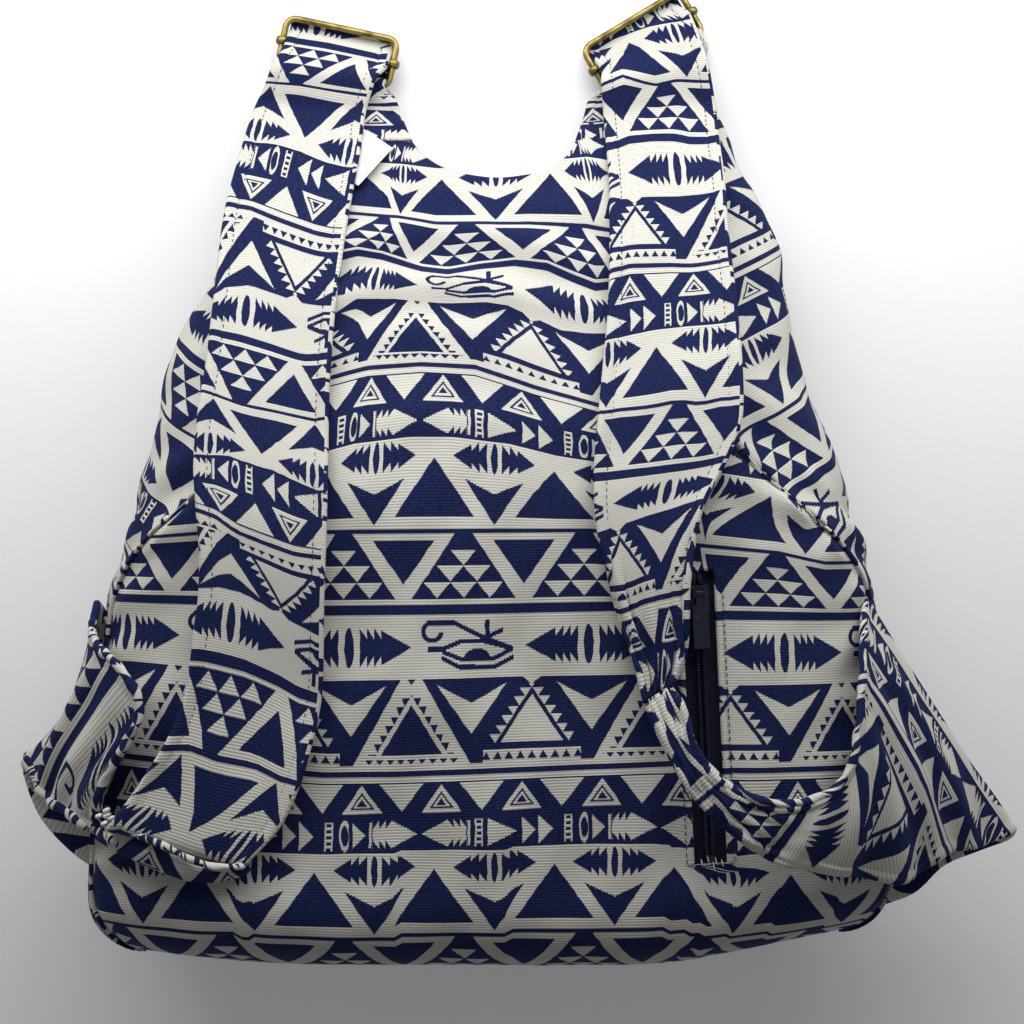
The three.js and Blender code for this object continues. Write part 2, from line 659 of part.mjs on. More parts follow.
function barGeometry() {
  const eyeInner = WIRE_RADIUS + EYE_CLEARANCE;
  const eyeOuter = eyeInner + EYE_WALL;
  const profile = [[eyeInner, -1], [eyeOuter, -1], [eyeOuter, 1], [eyeInner, 1], [eyeInner, -1]]
    .map(([radius, end]) => new THREE.Vector2(radius, (end * EYE_LENGTH) / 2));
  const eye = new THREE.LatheGeometry(profile, ROUND_SIDES);
  const eyes = [-1, 1].map((side) => eye.clone().translate(side * armX, 0, 0));
  const length = 2 * (armX - eyeInner - EYE_WALL / 3);
  const rod = new THREE.CylinderGeometry(BAR_RADIUS, BAR_RADIUS, length, WIRE_SIDES).rotateZ(Math.PI / 2);
  return joined(rod, ...eyes);
}

function bucklePlace(side) {
  const { x, reach, z } = BUCKLES[side];
  return new THREE.Vector3(x, shoulderY + reach, z);
}

function addBuckle(side) {
  const group = new THREE.Group();
  group.position.copy(bucklePlace(side));
  group.rotation.z = BUCKLES[side].turn;
  backpack.add(group);
  addPiece(`${side}_buckle_frame`, wireRing(frameOutline(), WIRE_RADIUS), 0x96823a, 0.4, 1, group);
  addPiece(`${side}_buckle_bar`, barGeometry(), 0x8a7434, 0.45, 1, group);
}

// A line across the cloth at a place in a buckle's own frame
function buckleRow(side, width, alongY, z) {
  const up = new THREE.Vector3(0, 0, 1);
  const row = [];
  for (let column = 0; column <= CLOTH_COLUMNS; column++) {
    const across = (column / CLOTH_COLUMNS - 0.5) * width;
    const point = new THREE.Vector3(across, alongY, z).applyAxisAngle(up, BUCKLES[side].turn);
    row.push(point.add(bucklePlace(side)));
  }
  return row;
}

function halfTurn(radius, centreY) {
  const places = [];
  for (let step = 0; step <= 2 * TURN_STEPS; step++) {
    const angle = (step / (2 * TURN_STEPS) - 0.5) * Math.PI;
    places.push([centreY + radius * Math.cos(angle), radius * Math.sin(angle)]);
  }
  return places;
}

const loopRadius = WIRE_RADIUS + CLOTH_CLEARANCE + LOOP_THICKNESS / 2;
const strapRadius = BAR_RADIUS + CLOTH_CLEARANCE + STRAP_THICKNESS / 2;
const strapOverLoop = loopRadius + LOOP_THICKNESS / 2 + CLOTH_CLEARANCE + STRAP_THICKNESS / 2;

function addShoulderLoop(side) {
  const middle = panelTop(LOOP_CENTRE_X[side], shoulderY) / 2;
  const shoulderRow = (y, layer) => {
    const row = [];
    for (let column = 0; column <= CLOTH_COLUMNS; column++) {
      const across = (column / CLOTH_COLUMNS - 0.5) * LOOP_WIDTH;
      row.push(new THREE.Vector3(LOOP_CENTRE_X[side] + across, y, middle + layer * LOOP_HALF_RISE));
    }
    return row;
  };
  const ends = [shoulderY - LOOP_INSERT, shoulderY + LOOP_LEVEL_RUN];
  const under = ends.map((y) => shoulderRow(y, -1));
  const over = ends.reverse().map((y) => shoulderRow(y, 1));
  const straight = -BAR_SPACING - LOOP_SLACK;
  const places = [[straight, -loopRadius], ...halfTurn(loopRadius, -BAR_SPACING), [straight, loopRadius]];
  const rows = places.map(([alongY, z]) => buckleRow(side, LOOP_WIDTH, alongY, z));
  addCloth(`${side}_shoulder_loop`, clothAbout([...under, ...rows, ...over], LOOP_THICKNESS));
}

// Straps
function strapStations({ upper, lower }) {
  const places = [
    ...upper.map(([x, drop]) => new THREE.Vector3(x, shoulderY - drop, 0)),
    ...lower.map(([x, rise]) => new THREE.Vector3(x, bottomY + rise, 0)),
  ];
  const path = new THREE.CatmullRomCurve3(places);
  const widths = [...upper, ...lower].map(([, , width, gap]) => new THREE.Vector3(width, gap, 0));
  const sizes = new THREE.CatmullRomCurve3(widths);
  const result = [];
  for (let step = 0; step <= STRAP_STEPS; step++) {
    const share = step / STRAP_STEPS;
    const along = path.getTangent(share);
    const size = sizes.getPoint(share);
    result.push({ centre: path.getPoint(share), across: new THREE.Vector3(-along.y, along.x, 0), along,
      width: size.x, gap: size.y });
  }
  return result;
}

function strapRow({ centre, across, width, gap }) {
  const row = [];
  for (let column = 0; column <= CLOTH_COLUMNS; column++) {
    const point = centre.clone().addScaledVector(across, (column / CLOTH_COLUMNS - 0.5) * width);
    point.z = panelTop(point.x, point.y) + gap + STRAP_THICKNESS / 2;
    row.push(point);
  }
  return row;
}

function buckleEnd(side) {
  const behind = [[-STRAP_TAIL, -strapOverLoop], [-BAR_SPACING, -strapOverLoop]];
  const front = [[-BAR_SPACING, strapOverLoop], [-STRAP_LEAD, strapOverLoop]];
  return [...behind, ...halfTurn(strapRadius, 0), ...front]
    .map(([alongY, z]) => buckleRow(side, STRAP_BUCKLE_WIDTH, alongY, z));
}

// Cloth turned under along its last row, with the radius given for each column
function turnedUnder(row, outward, radiusAt) {
  const rows = [];
  for (let step = 1; step <= TURN_STEPS; step++) {
    const angle = (step / TURN_STEPS) * Math.PI;
    rows.push(row.map((point, column) => {
      const radius = radiusAt(column / CLOTH_COLUMNS);
      const moved = point.clone().addScaledVector(outward, radius * Math.sin(angle));
      moved.z -= radius * (1 - Math.cos(angle));
      return moved;
    }));
  }
  return rows;
}

function addLeftStrap() {
  const route = strapStations(LEFT_ROUTE);
  const last = route.at(-1);
  const foldAcross = new THREE.Vector3(Math.cos(LEFT_FOLD_TURN), Math.sin(LEFT_FOLD_TURN), 0);
  const foldOut = new THREE.Vector3(foldAcross.y, -foldAcross.x, 0);
  route.forEach((station, k) => {
    const share = THREE.MathUtils.smoothstep(k, STRAP_STEPS / 2, STRAP_STEPS);
    station.across.lerp(foldAcross, share).normalize();
  });
  const rows = route.map(strapRow);
  const level = Math.max(...rows.at(-1).map((point) => point.z));
  rows.at(-1).forEach((point) => (point.z = THREE.MathUtils.lerp(point.z, level, 0.5)));
  const turn = turnedUnder(rows.at(-1), foldOut, () => LEFT_FOLD_RADIUS);
  const hem = turn.at(-1).map((point) => {
    const end = point.clone().addScaledVector(foldOut, -LEFT_HEM);
    end.z = panelTop(end.x, end.y) + last.gap - 2 * LEFT_FOLD_RADIUS + STRAP_THICKNESS;
    return end;
  });
  addCloth("left_strap", clothAbout([...buckleEnd("left"), ...rows, ...turn, hem], STRAP_THICKNESS));
}

const rightStations = strapStations(RIGHT_ROUTE);

function addRightStrap() {
  const rows = [...buckleEnd("right"), ...rightStations.map(strapRow)];
  addCloth("right_strap", clothAbout(rows, STRAP_THICKNESS));
}

// Anchor tabs: an upper layer from the strap to a fold, then an under layer back to the side seam
function tabEdge(tab, strapPoints, seamPoints, first) {
  const place = (x, rise, height) => new THREE.Vector3(x, bottomY + rise, crownZ + height);
  const points = strapPoints.map((numbers) => place(...numbers));
  for (const [out, rise, height] of seamPoints) {
    const { point } = sideSeam(tab.side, bottomY + rise);
    points.push(place(point.x + tab.side * out, rise, height));
  }
  if (first) points.unshift(first);
  return new THREE.CatmullRomCurve3(points, false, "centripetal");
}

function addTab(side, tab, firstInner, firstOuter) {
  const inner = tabEdge(tab, tab.strapInner, tab.seamInner, firstInner);
  const outer = tabEdge(tab, tab.strapOuter, tab.seamOuter, firstOuter);
  const rows = [];
  for (let step = 0; step <= TAB_STEPS; step++) {
    const from = outer.getPoint(step / TAB_STEPS);
    const to = inner.getPoint(step / TAB_STEPS);
    const row = [];
    for (let column = 0; column <= CLOTH_COLUMNS; column++) {
      const point = from.clone().lerp(to, column / CLOTH_COLUMNS);
      const floor = panelTop(point.x, point.y) + tabGap(side, step) + TAB_THICKNESS / 2;
      const inside = Math.abs(point.x) < sideSeam(1, point.y).point.x;
      if (inside) point.z = Math.max(point.z, floor);
      row.push(point);
    }
    rows.push(row);
  }
  const fold = rows.at(-1);
  const along = fold[0].clone().sub(fold[CLOTH_COLUMNS]);
  const outward = new THREE.Vector3(-along.y, along.x, 0).multiplyScalar(tab.side).normalize();
  const foldRadius = (share) => THREE.MathUtils.lerp(TAB_FOLD_OUTER, TAB_FOLD_INNER, share);
  const turn = turnedUnder(fold, outward, foldRadius);
  const base = fold.map((_, column) => {
    const rise = THREE.MathUtils.lerp(TAB_SEAM_BOTTOM_RISE, TAB_SEAM_TOP_RISE, column / CLOTH_COLUMNS);
    const { point, normal } = sideSeam(tab.side, bottomY + rise);
    return point.addScaledVector(normal, TAB_THICKNESS / 2 + CLOTH_CLEARANCE);
  });
  const between = base.map((point, column) => point.clone().lerp(turn.at(-1)[column], 0.5));
  addCloth(`${side}_anchor_tab`, clothAbout([...rows, ...turn, between, base], TAB_THICKNESS));
}

// The left tab starts flat under the strap's turned end
function tabGap(side, step) {
  const share = THREE.MathUtils.smoothstep(step, TAB_STEPS / 6, TAB_STEPS / 2);
  return side === "left" ? THREE.MathUtils.lerp(CLOTH_CLEARANCE, TAB_GAP, share) : TAB_GAP;
}

function addTabs() {
  const end = rightStations.at(-1);
  const row = strapRow(end).map((point) => point.addScaledVector(end.along, SEAM_GAP + CLOTH_CLEARANCE));
  addTab("right", RIGHT_TAB, row.at(-1), row[0]);
  addTab("left", LEFT_TAB);
}

function addSwingTag() {
  const tag = new THREE.BoxGeometry(TAG_LENGTH, TAG_WIDTH, TAG_THICKNESS);
  const group = new THREE.Group();
  const { x, drop } = TAG_CENTRE;
  const y = shoulderY - drop;
  const rise = (dx, dy) => panelTop(x + dx, y + dy) - panelTop(x - dx, y - dy);
  const half = TAG_WIDTH / 2;
  const normal = new THREE.Vector3(-rise(half, 0) / TAG_WIDTH, -rise(0, half) / TAG_WIDTH, 1).normalize();
  group.quaternion.setFromUnitVectors(new THREE.Vector3(0, 0, 1), normal);
  group.position.set(x, y, panelTop(x, y)).addScaledVector(normal, TAG_GAP + TAG_THICKNESS / 2);
  backpack.add(group);
  addPiece("swing_tag", tag, 0xf4f3ee, 0.7, 0, group).rotation.z = TAG_TURN;
}

addBody();
addZip();
for (const side of ["left", "right"]) {
  addBuckle(side);
  addShoulderLoop(side);
}
addLeftStrap();
addRightStrap();
addTabs();
addSwingTag();

export default backpack;
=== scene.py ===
import math

import bpy
import numpy as np
from mathutils import Matrix, Vector


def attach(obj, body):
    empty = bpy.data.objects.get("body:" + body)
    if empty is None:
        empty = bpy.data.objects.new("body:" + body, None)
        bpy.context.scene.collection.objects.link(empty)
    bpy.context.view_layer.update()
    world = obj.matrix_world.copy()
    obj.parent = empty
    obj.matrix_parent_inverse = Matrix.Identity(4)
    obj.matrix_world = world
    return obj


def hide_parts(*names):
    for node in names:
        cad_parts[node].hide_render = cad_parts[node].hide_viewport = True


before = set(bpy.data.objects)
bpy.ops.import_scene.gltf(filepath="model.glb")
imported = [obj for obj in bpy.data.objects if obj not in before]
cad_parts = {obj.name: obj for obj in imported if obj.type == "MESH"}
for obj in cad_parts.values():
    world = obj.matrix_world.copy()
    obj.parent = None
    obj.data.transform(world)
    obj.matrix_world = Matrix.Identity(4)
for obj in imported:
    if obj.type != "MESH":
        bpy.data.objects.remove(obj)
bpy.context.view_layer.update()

mm = 0.001  # sizes below are in millimetres, those of lamps and cut cloth in metres
scene = bpy.context.scene
scene.view_settings.view_transform = "Standard"

# Camera, straight above the bag as it lies on its front
cameraView = {"x": 9, "y": 20, "height": 950, "span": 506.5, "sensor": 36, "pixels": 1024}
bpy.ops.object.camera_add(
    location=(cameraView["x"] * mm, cameraView["y"] * mm, cameraView["height"] * mm), rotation=(0, 0, 0))
camera = bpy.context.object
camera.name = "camera"
camera.data.sensor_width = cameraView["sensor"]
camera.data.lens = cameraView["sensor"] * cameraView["height"] / cameraView["span"]
camera.data.clip_start = 0.01
scene.camera = camera


# Place on the bag, at a given height, that shows at a pixel of the photograph
def fromPhoto(px, py, level):
    scale = cameraView["span"] / cameraView["pixels"] * (1 - level / cameraView["height"])
    middle = cameraView["pixels"] / 2
    return cameraView["x"] + (px - middle) * scale, cameraView["y"] + (middle - py) * scale


print("camera ready")


# Small helpers
def smoothStep(value, low, high):
    share = np.clip((value - low) / (high - low), 0, 1)
    return share * share * (3 - 2 * share)


def window(value, low, high, soft):
    return smoothStep(value, low - soft, low + soft) * (1 - smoothStep(value, high - soft, high + soft))


# Gentle random waves, the same on each run
def ripple(a, b, wave, seed, count=7):
    rng = np.random.default_rng(seed)
    total = np.zeros(np.broadcast(a, b).shape)
    for turn, stretch, phase in zip(rng.uniform(0, math.pi, count), rng.uniform(0.7, 1.5, count),
                                    rng.uniform(0, 2 * math.pi, count)):
        across = a * math.cos(turn) + b * math.sin(turn)
        total = total + np.sin(2 * math.pi * across / (wave * stretch) + phase)
    return total / math.sqrt(count / 2) / 1.6


# Smooth curve through rows of numbers
def curveThrough(rows, count):
    rows = np.asarray(rows, float)
    padded = np.vstack([2 * rows[0] - rows[1], rows, 2 * rows[-1] - rows[-2]])
    places = np.linspace(0, len(rows) - 1, count)
    index = np.minimum(places.astype(int), len(rows) - 2)
    t = (places - index)[:, None]
    p0, p1, p2, p3 = (padded[index + k] for k in range(4))
    return 0.5 * (2 * p1 + (p2 - p0) * t + (2 * p0 - 5 * p1 + 4 * p2 - p3) * t ** 2
                  + (3 * p1 - p0 - 3 * p2 + p3) * t ** 3)


def unit(vectors):
    return vectors / np.maximum(np.linalg.norm(vectors, axis=-1, keepdims=True), 1e-9)


def gridNormals(points):
    along = np.gradient(points, axis=0)
    across = np.gradient(points, axis=1)
    return unit(np.cross(across, along))


def arcAcross(points):
    steps = np.linalg.norm(np.diff(points, axis=1), axis=2)
    return np.concatenate([np.zeros((len(points), 1)), np.cumsum(steps, axis=1)], axis=1)


def arcAlong(path):
    return np.concatenate([[0], np.cumsum(np.linalg.norm(np.diff(path, axis=0), axis=1))])


# Points at the given places between a band's two edges, and its width at each row
def acrossBand(edges, places):
    middle = edges[:, None, :3] + (edges[:, None, 3:] - edges[:, None, :3]) * places[None, :, None]
    return middle, np.linalg.norm(edges[:, 3:] - edges[:, :3], axis=1)[:, None]


# Value at each place between lines at the given heights; before holds ahead of the first line
def betweenLines(place, heights, values, before=None):
    v = before
    for k in range(len(values) - 1):
        share = (place - heights[k]) / (heights[k + 1] - heights[k])
        here = values[k] + share * (values[k + 1] - values[k])
        v = here if v is None else np.where(place > heights[k], here, v)
    return v


def addMesh(name, points, faces, cornerUv=None):
    mesh = bpy.data.meshes.new(name)
    mesh.from_pydata((np.asarray(points) * mm).tolist(), [], faces)
    if cornerUv is not None:
        layer = mesh.uv_layers.new(name="cloth")
        layer.data.foreach_set("uv", np.asarray(cornerUv, np.float32).ravel())
    mesh.shade_smooth()
    piece = bpy.data.objects.new(name, mesh)
    scene.collection.objects.link(piece)
    return piece


def pickOnly(piece):
    bpy.ops.object.select_all(action="DESELECT")
    piece.select_set(True)
    bpy.context.view_layer.objects.active = piece


def applyAll(piece):
    pickOnly(piece)
    for modifier in list(piece.modifiers):
        bpy.ops.object.modifier_apply(modifier=modifier.name)


# A new piece's body, finish and the solids it stands for
def fit(piece, bodyName, slot, material, *nodes):
    piece.data.materials.append(material)
    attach(piece, bodyName)
    if nodes:
        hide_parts(*nodes)


# Places on the cloth, from the pattern's own units
def clothUv(u, v):
    return np.stack(np.broadcast_arrays(u, v), axis=-1) * weave["scale"]


# Cloth as a grid with a wall, its outer face up
def clothPanel(name, points, uv, wall):
    rows, columns = points.shape[:2]
    index = np.arange(rows * columns).reshape(rows, columns)
    faces = np.stack([index[:-1, :-1], index[:-1, 1:], index[1:, 1:], index[1:, :-1]], axis=-1).reshape(-1, 4)
    flatUv = uv.reshape(-1, 2)
    piece = addMesh(name, points.reshape(-1, 3), faces.tolist(), flatUv[faces].reshape(-1, 2))
    solid = piece.modifiers.new("wall", "SOLIDIFY")
    solid.thickness = wall * mm
    solid.offset = -1
    applyAll(piece)
    return piece


# Closed tube through rows of points, capped at both ends; uv has one column more, past the seam
def addTube(name, points, uv):
    rows, count = points.shape[:2]
    index = np.arange(rows * count).reshape(rows, count)
    after = np.roll(index, -1, axis=1)
    faces = np.stack([index[:-1], after[:-1], after[1:], index[1:]], axis=-1).reshape(-1, 4).tolist()
    faces += [index[0, ::-1].tolist(), index[-1].tolist()]
    faceUv = np.stack([uv[:-1, :-1], uv[:-1, 1:], uv[1:, 1:], uv[1:, :-1]], axis=2).reshape(-1, 2)
    faceUv = np.concatenate([faceUv, uv[0, :count][::-1], uv[-1, :count]])
    return addMesh(name, points.reshape(-1, 3), faces, faceUv)


# Cloth band with two faces and round edges about its middle surface
def clothBand(name, middle, half, uv, topRow, rimSteps=5):
    columns = middle.shape[1]
    normals = gridNormals(middle)
    if normals[topRow, columns // 2, 2] < 0:
        middle, half, uv, normals = middle[:, ::-1], half[:, ::-1], uv[:, ::-1], -normals[:, ::-1]
    upper = middle + normals * half[..., None]
    lower = middle - normals * half[..., None]
    ring, ringUv = [upper], [uv]
    turns = np.linspace(0, math.pi, rimSteps + 2)[1:-1]
    for edge, inner in ((columns - 1, columns - 2), (0, 1)):
        outward = unit(middle[:, edge] - middle[:, inner])
        step = uv[:, edge] - uv[:, inner]
        size = np.linalg.norm(middle[:, edge] - middle[:, inner], axis=1)
        perMm = step / np.maximum(size, 1e-6)[:, None]
        rim, rimUv = [], []
        for turn in turns:
            lean = turn if edge else math.pi - turn
            radius = half[:, edge, None]
            spoke = math.cos(lean) * normals[:, edge] + math.sin(lean) * outward
            rim.append(middle[:, edge] + radius * spoke)
            rimUv.append(uv[:, edge] + perMm * radius * turn)
        ring.append(np.stack(rim, axis=1))
        ringUv.append(np.stack(rimUv, axis=1))
        if edge:
            ring.append(lower[:, ::-1])
            around = uv[:, edge:edge + 1] + perMm[:, None] * math.pi * half[:, edge, None, None]
            ringUv.append(around + uv[:, edge:edge + 1] - uv[:, ::-1])
    ringUv[3] = ringUv[2][:, -1:] + np.cumsum(np.diff(ringUv[3], axis=1, prepend=ringUv[3][:, :1]), axis=1)
    corners = np.concatenate([*ringUv, ringUv[-1][:, -1:]], axis=1)
    return addTube(name, np.concatenate(ring, axis=1), corners)


# Node sums written as plain formulas, in the tree that is being built
class Term:
    tree = None

    def __init__(self, socket):
        self.socket = socket

    @staticmethod
    def of(kind, *values):
        return Term(addNode("Math", dict(enumerate(values)), operation=kind).outputs[0])

    def __add__(self, other):
        return Term.of("ADD", self, other)

    def __radd__(self, other):
        return Term.of("ADD", other, self)

    def __sub__(self, other):
        return Term.of("SUBTRACT", self, other)

    def __rsub__(self, other):
        return Term.of("SUBTRACT", other, self)

    def __mul__(self, other):
        return Term.of("MULTIPLY", self, other)

    def __abs__(self):
        return Term.of("ABSOLUTE", self)

    def __mod__(self, other):
        return Term.of("FLOORED_MODULO", self, other)

    def __lt__(self, other):
        return Term.of("LESS_THAN", self, other)

    def __gt__(self, other):
        return Term.of("GREATER_THAN", self, other)

    def __and__(self, other):
        return Term.of("MINIMUM", self, other)

    def __or__(self, other):
        return Term.of("MAXIMUM", self, other)

    def without(self, other):
        return Term.of("GREATER_THAN", self - other, 0.5)

    def flipped(self):
        return 1 - self


# A node's inputs, by name or number: terms and sockets are linked, other values are set
def feed(node, inputs):
    for name, value in inputs.items():
        slot = node.inputs[name]
        if isinstance(value, (Term, bpy.types.NodeSocket)):
            Term.tree.links.new(value.socket if isinstance(value, Term) else value, slot)
        else:
            slot.default_value = (*value, 1) if slot.type == "RGBA" else value


def addNode(kind, inputs=None, **settings):
    node = Term.tree.nodes.new("ShaderNode" + kind)
    for name, value in settings.items():
        setattr(node, name, value)
    feed(node, inputs or {})
    return node


def startFinish(name):
    material = bpy.data.materials.new(name)
    material.use_nodes = True
    Term.tree = material.node_tree
    return material, Term.tree.nodes["Principled BSDF"]


# Woven pattern in its own units: 120.5 across a motif and 408 down a repeat
weave = {"repeat": 408, "rib": 2.85, "scale": 0.01,
         # the groove colour is painted shade for the gaps between ribs
         "cream": (0.71, 0.696, 0.64), "grooveShade": (0.33, 0.305, 0.225),
         "navy": (0.0062, 0.0096, 0.042), "navyPale": (0.022, 0.036, 0.14)}
unitsPerMm = 1 / 0.4358


# Distance from the nearest axis of a row of motifs
def fromAxis(u, axis, period):
    return Term.of("PINGPONG", u - axis, period / 2)


# Broken line through points, as a height for each x
def brokenLine(x, points):
    slope = (points[1][1] - points[0][1]) / (points[1][0] - points[0][0])
    line = (x - points[0][0]) * slope + points[0][1]
    for (x0, y0), (x1, y1) in zip(points[1:], points[2:]):
        turn = (y1 - y0) / (x1 - x0) - slope
        slope = slope + turn
        line = line + Term.of("MAXIMUM", x - x0, 0.0) * turn
    return line


# Fish, from its middle out: a lens, two toothed fins and an arrowhead
def fish(x, y, size):
    teeth = size["fin"] - (x - size["gap"]) % size["tooth"] * size["cut"]
    fins = (y < teeth) & (x > size["gap"]) & (x < size["neck"])
    head = (y < (size["tip"] - x) * (size["head"] / (size["tip"] - size["neck"]))) & (x > size["neck"] - 0.01)
    lens = (Term.of("POWER", x * (1 / size["lens"]), 2.0)
            + Term.of("POWER", y * (1 / (size["fin"] * 1.02)), 2.0)) < 1
    return fins | head | lens


smallFish = {"lens": 3.4, "gap": 7.3, "tooth": 8, "cut": 1.15, "fin": 15, "neck": 23.2, "tip": 41.5,
             "head": 12}
largeFish = {"lens": 5, "gap": 10.8, "tooth": 7.4, "cut": 1.55, "fin": 20, "neck": 32.8, "tip": 64,
             "head": 17.7}


# Band of big triangles, notched tips and small fishes: navy on cream
def bandOfPeaks(u, v):
    x = fromAxis(u, 86, 120.5)
    navy = (x < (v - 19) * 0.727) & (v < 74)
    x = fromAxis(u, 26, 120.5)
    navy = navy | ((v > 52 - x * 0.47) & (v < 82 - x * 1.47))
    return navy | fish(x, abs(v - 17), smallFish)


# Band of outlined triangles and little pyramids: cream on navy
def bandOfPyramids(u, v):
    x = fromAxis(u, 55.5, 120.5)
    outer = x < 51.3 - (v - 90) * 0.65
    inner = (x < 30.7 - (v - 97) * 0.682) & (v > 97)
    cream = outer.without(inner)
    x = fromAxis(u, 115.5, 120.5)
    row = Term.of("FLOOR", (v - 106.5) * (1 / 16.7))
    down = (v - 106.5) % 16.7
    nearest = Term.of("PINGPONG", x + abs(row - 1) * 13.2 + 13.2, 13.2)
    little = (nearest < 12.9 - down * 0.83) & (v > 106.5) & (x < (row + 1) * 13.2)
    return cream | little


# Band of large fishes with a line-drawn eye between them: navy on cream
def bandOfFishes(u, v):
    navy = fish(fromAxis(u, 0, 241), abs(v - 205.5), largeFish)
    x = u % 241 - 121.2
    y = v - 205
    for points in (((-42, -24), (-15, -24), (13, -9), (44, 4)),
                   ((-42, 3), (-27, 3), (-8, -5), (13, -5), (44, 4)),
                   ((-27, 6), (-8, 13.5), (25, 13.5), (44, 4)),
                   ((-28, 12), (-10, 21.5), (25, 22.5), (45, 12.5)),
                   ((16, -8), (34, -16))):
        near = abs(y - brokenLine(x, points)) < 2.5
        navy = navy | (near & (x > points[0][0]) & (x < points[-1][0]))
    navy = navy | ((abs(x - 18) < 2.3) & (abs(y + 17.5) < 9))
    pupil = (x - 8) * (x - 8) + (y - 12) * (y - 12) * 2.1
    navy = navy | ((pupil < 169) & (y < 12))
    curl = Term.of("SQRT", (x + 37) * (x + 37) + (y + 15) * (y + 15))
    return navy | ((abs(curl - 9) < 2.3) & (Term.of("MINIMUM", x + 38, -14 - y) < 0))


# Band of chevrons and toothed triangles: cream on navy
def bandOfTeeth(u, v):
    x = fromAxis(u, 3, 120.5)
    cream = (v > 263 - x * 0.543) & (v < 294 - x * 1.43)
    x = fromAxis(u, 63.5, 241)
    tent = x < 10.6 + (v - 238) * 0.564
    leg = (v - 263) * 0.608
    inner = (x < leg) & (v < 314)
    teeth = (x > leg + 5.5) & (x < leg + 13.5 - (v - 238) % 9.2 * 0.95) & (v < 314) & (v > 254)
    base = (v > 317.5) & (Term.of("PINGPONG", x, 5.3) < 4.6 - (v - 317.5) * 0.85) & (x < 50)
    notch = x < 4.5 - (v - 238) * 0.8
    cream = cream | tent.without(inner | teeth | base | notch)
    x = fromAxis(u, 184, 241)
    leg = (v - 256) * 0.66
    core = (x < leg) & (v < 303)
    teeth = (x > leg + 5) & (x < leg + 16.5 - (v - 240) % 9.2 * 1.3) & (v < 303) & (v > 245)
    cream = cream | core | teeth | (x < 9.5 - (v - 238) * 1.3)
    base = (v > 310) & (x < 49)
    peaks = (Term.of("PINGPONG", x, 5.75) < (v - 312.5) * 0.56) & (v < 320) & (v > 312.5)
    return cream | base.without(peaks)


# Band of solid and ringed triangles: cream on navy
def bandOfRings(u, v):
    x = fromAxis(u, 53.5, 80.33)
    cream = (x < 22 - (v - 342) * 0.815) & (v > 342)
    x = fromAxis(u, 13.3, 80.33)
    depth = Term.of("MINIMUM", 370.5 - v, ((v - 343) * 0.74 - x) * 0.8)
    return cream | ((depth > 0) & (depth < 3.9)) | ((depth > 5.7) & (depth < 7.8))


# Row of small signs: combs, ovals, bars, wedges and half fishes, cream on navy
def bandOfSigns(u, v):
    place = u % 241
    y = abs(v - 391)
    x = abs(place - 71.1)
    cream = (y < (x - 2.3) * 0.51) & (x < 28.01)
    cream = cream | ((y < 13.5 - (x - 28) % 6.4 * 1.3) & (x > 28) & (x < 47.4))
    cream = cream | ((abs(x - 49.8) < 1.3) & (y < 12.5))
    for start, end, height in ((3.9, 16.4, 12), (139.9, 168.9, 13.5), (174.5, 187.9, 13), (190.9, 205.4, 14)):
        cream = cream | ((place > start) & (y < (end - place) * (height / (end - start))))
    x = place - 236.9
    oval = Term.of("SQRT", x * x * 7 + y * y)
    cream = cream | (abs(oval - 12.4) < 2.4)
    x = abs(place - 175.9)
    comb = (x > 40.8) & (x < 49) & (y < 14)
    gaps = ((v - 391) % 5.7 < 2.3) & (x > 42.4) & (x < 47.2)
    return cream | comb.without(gaps)


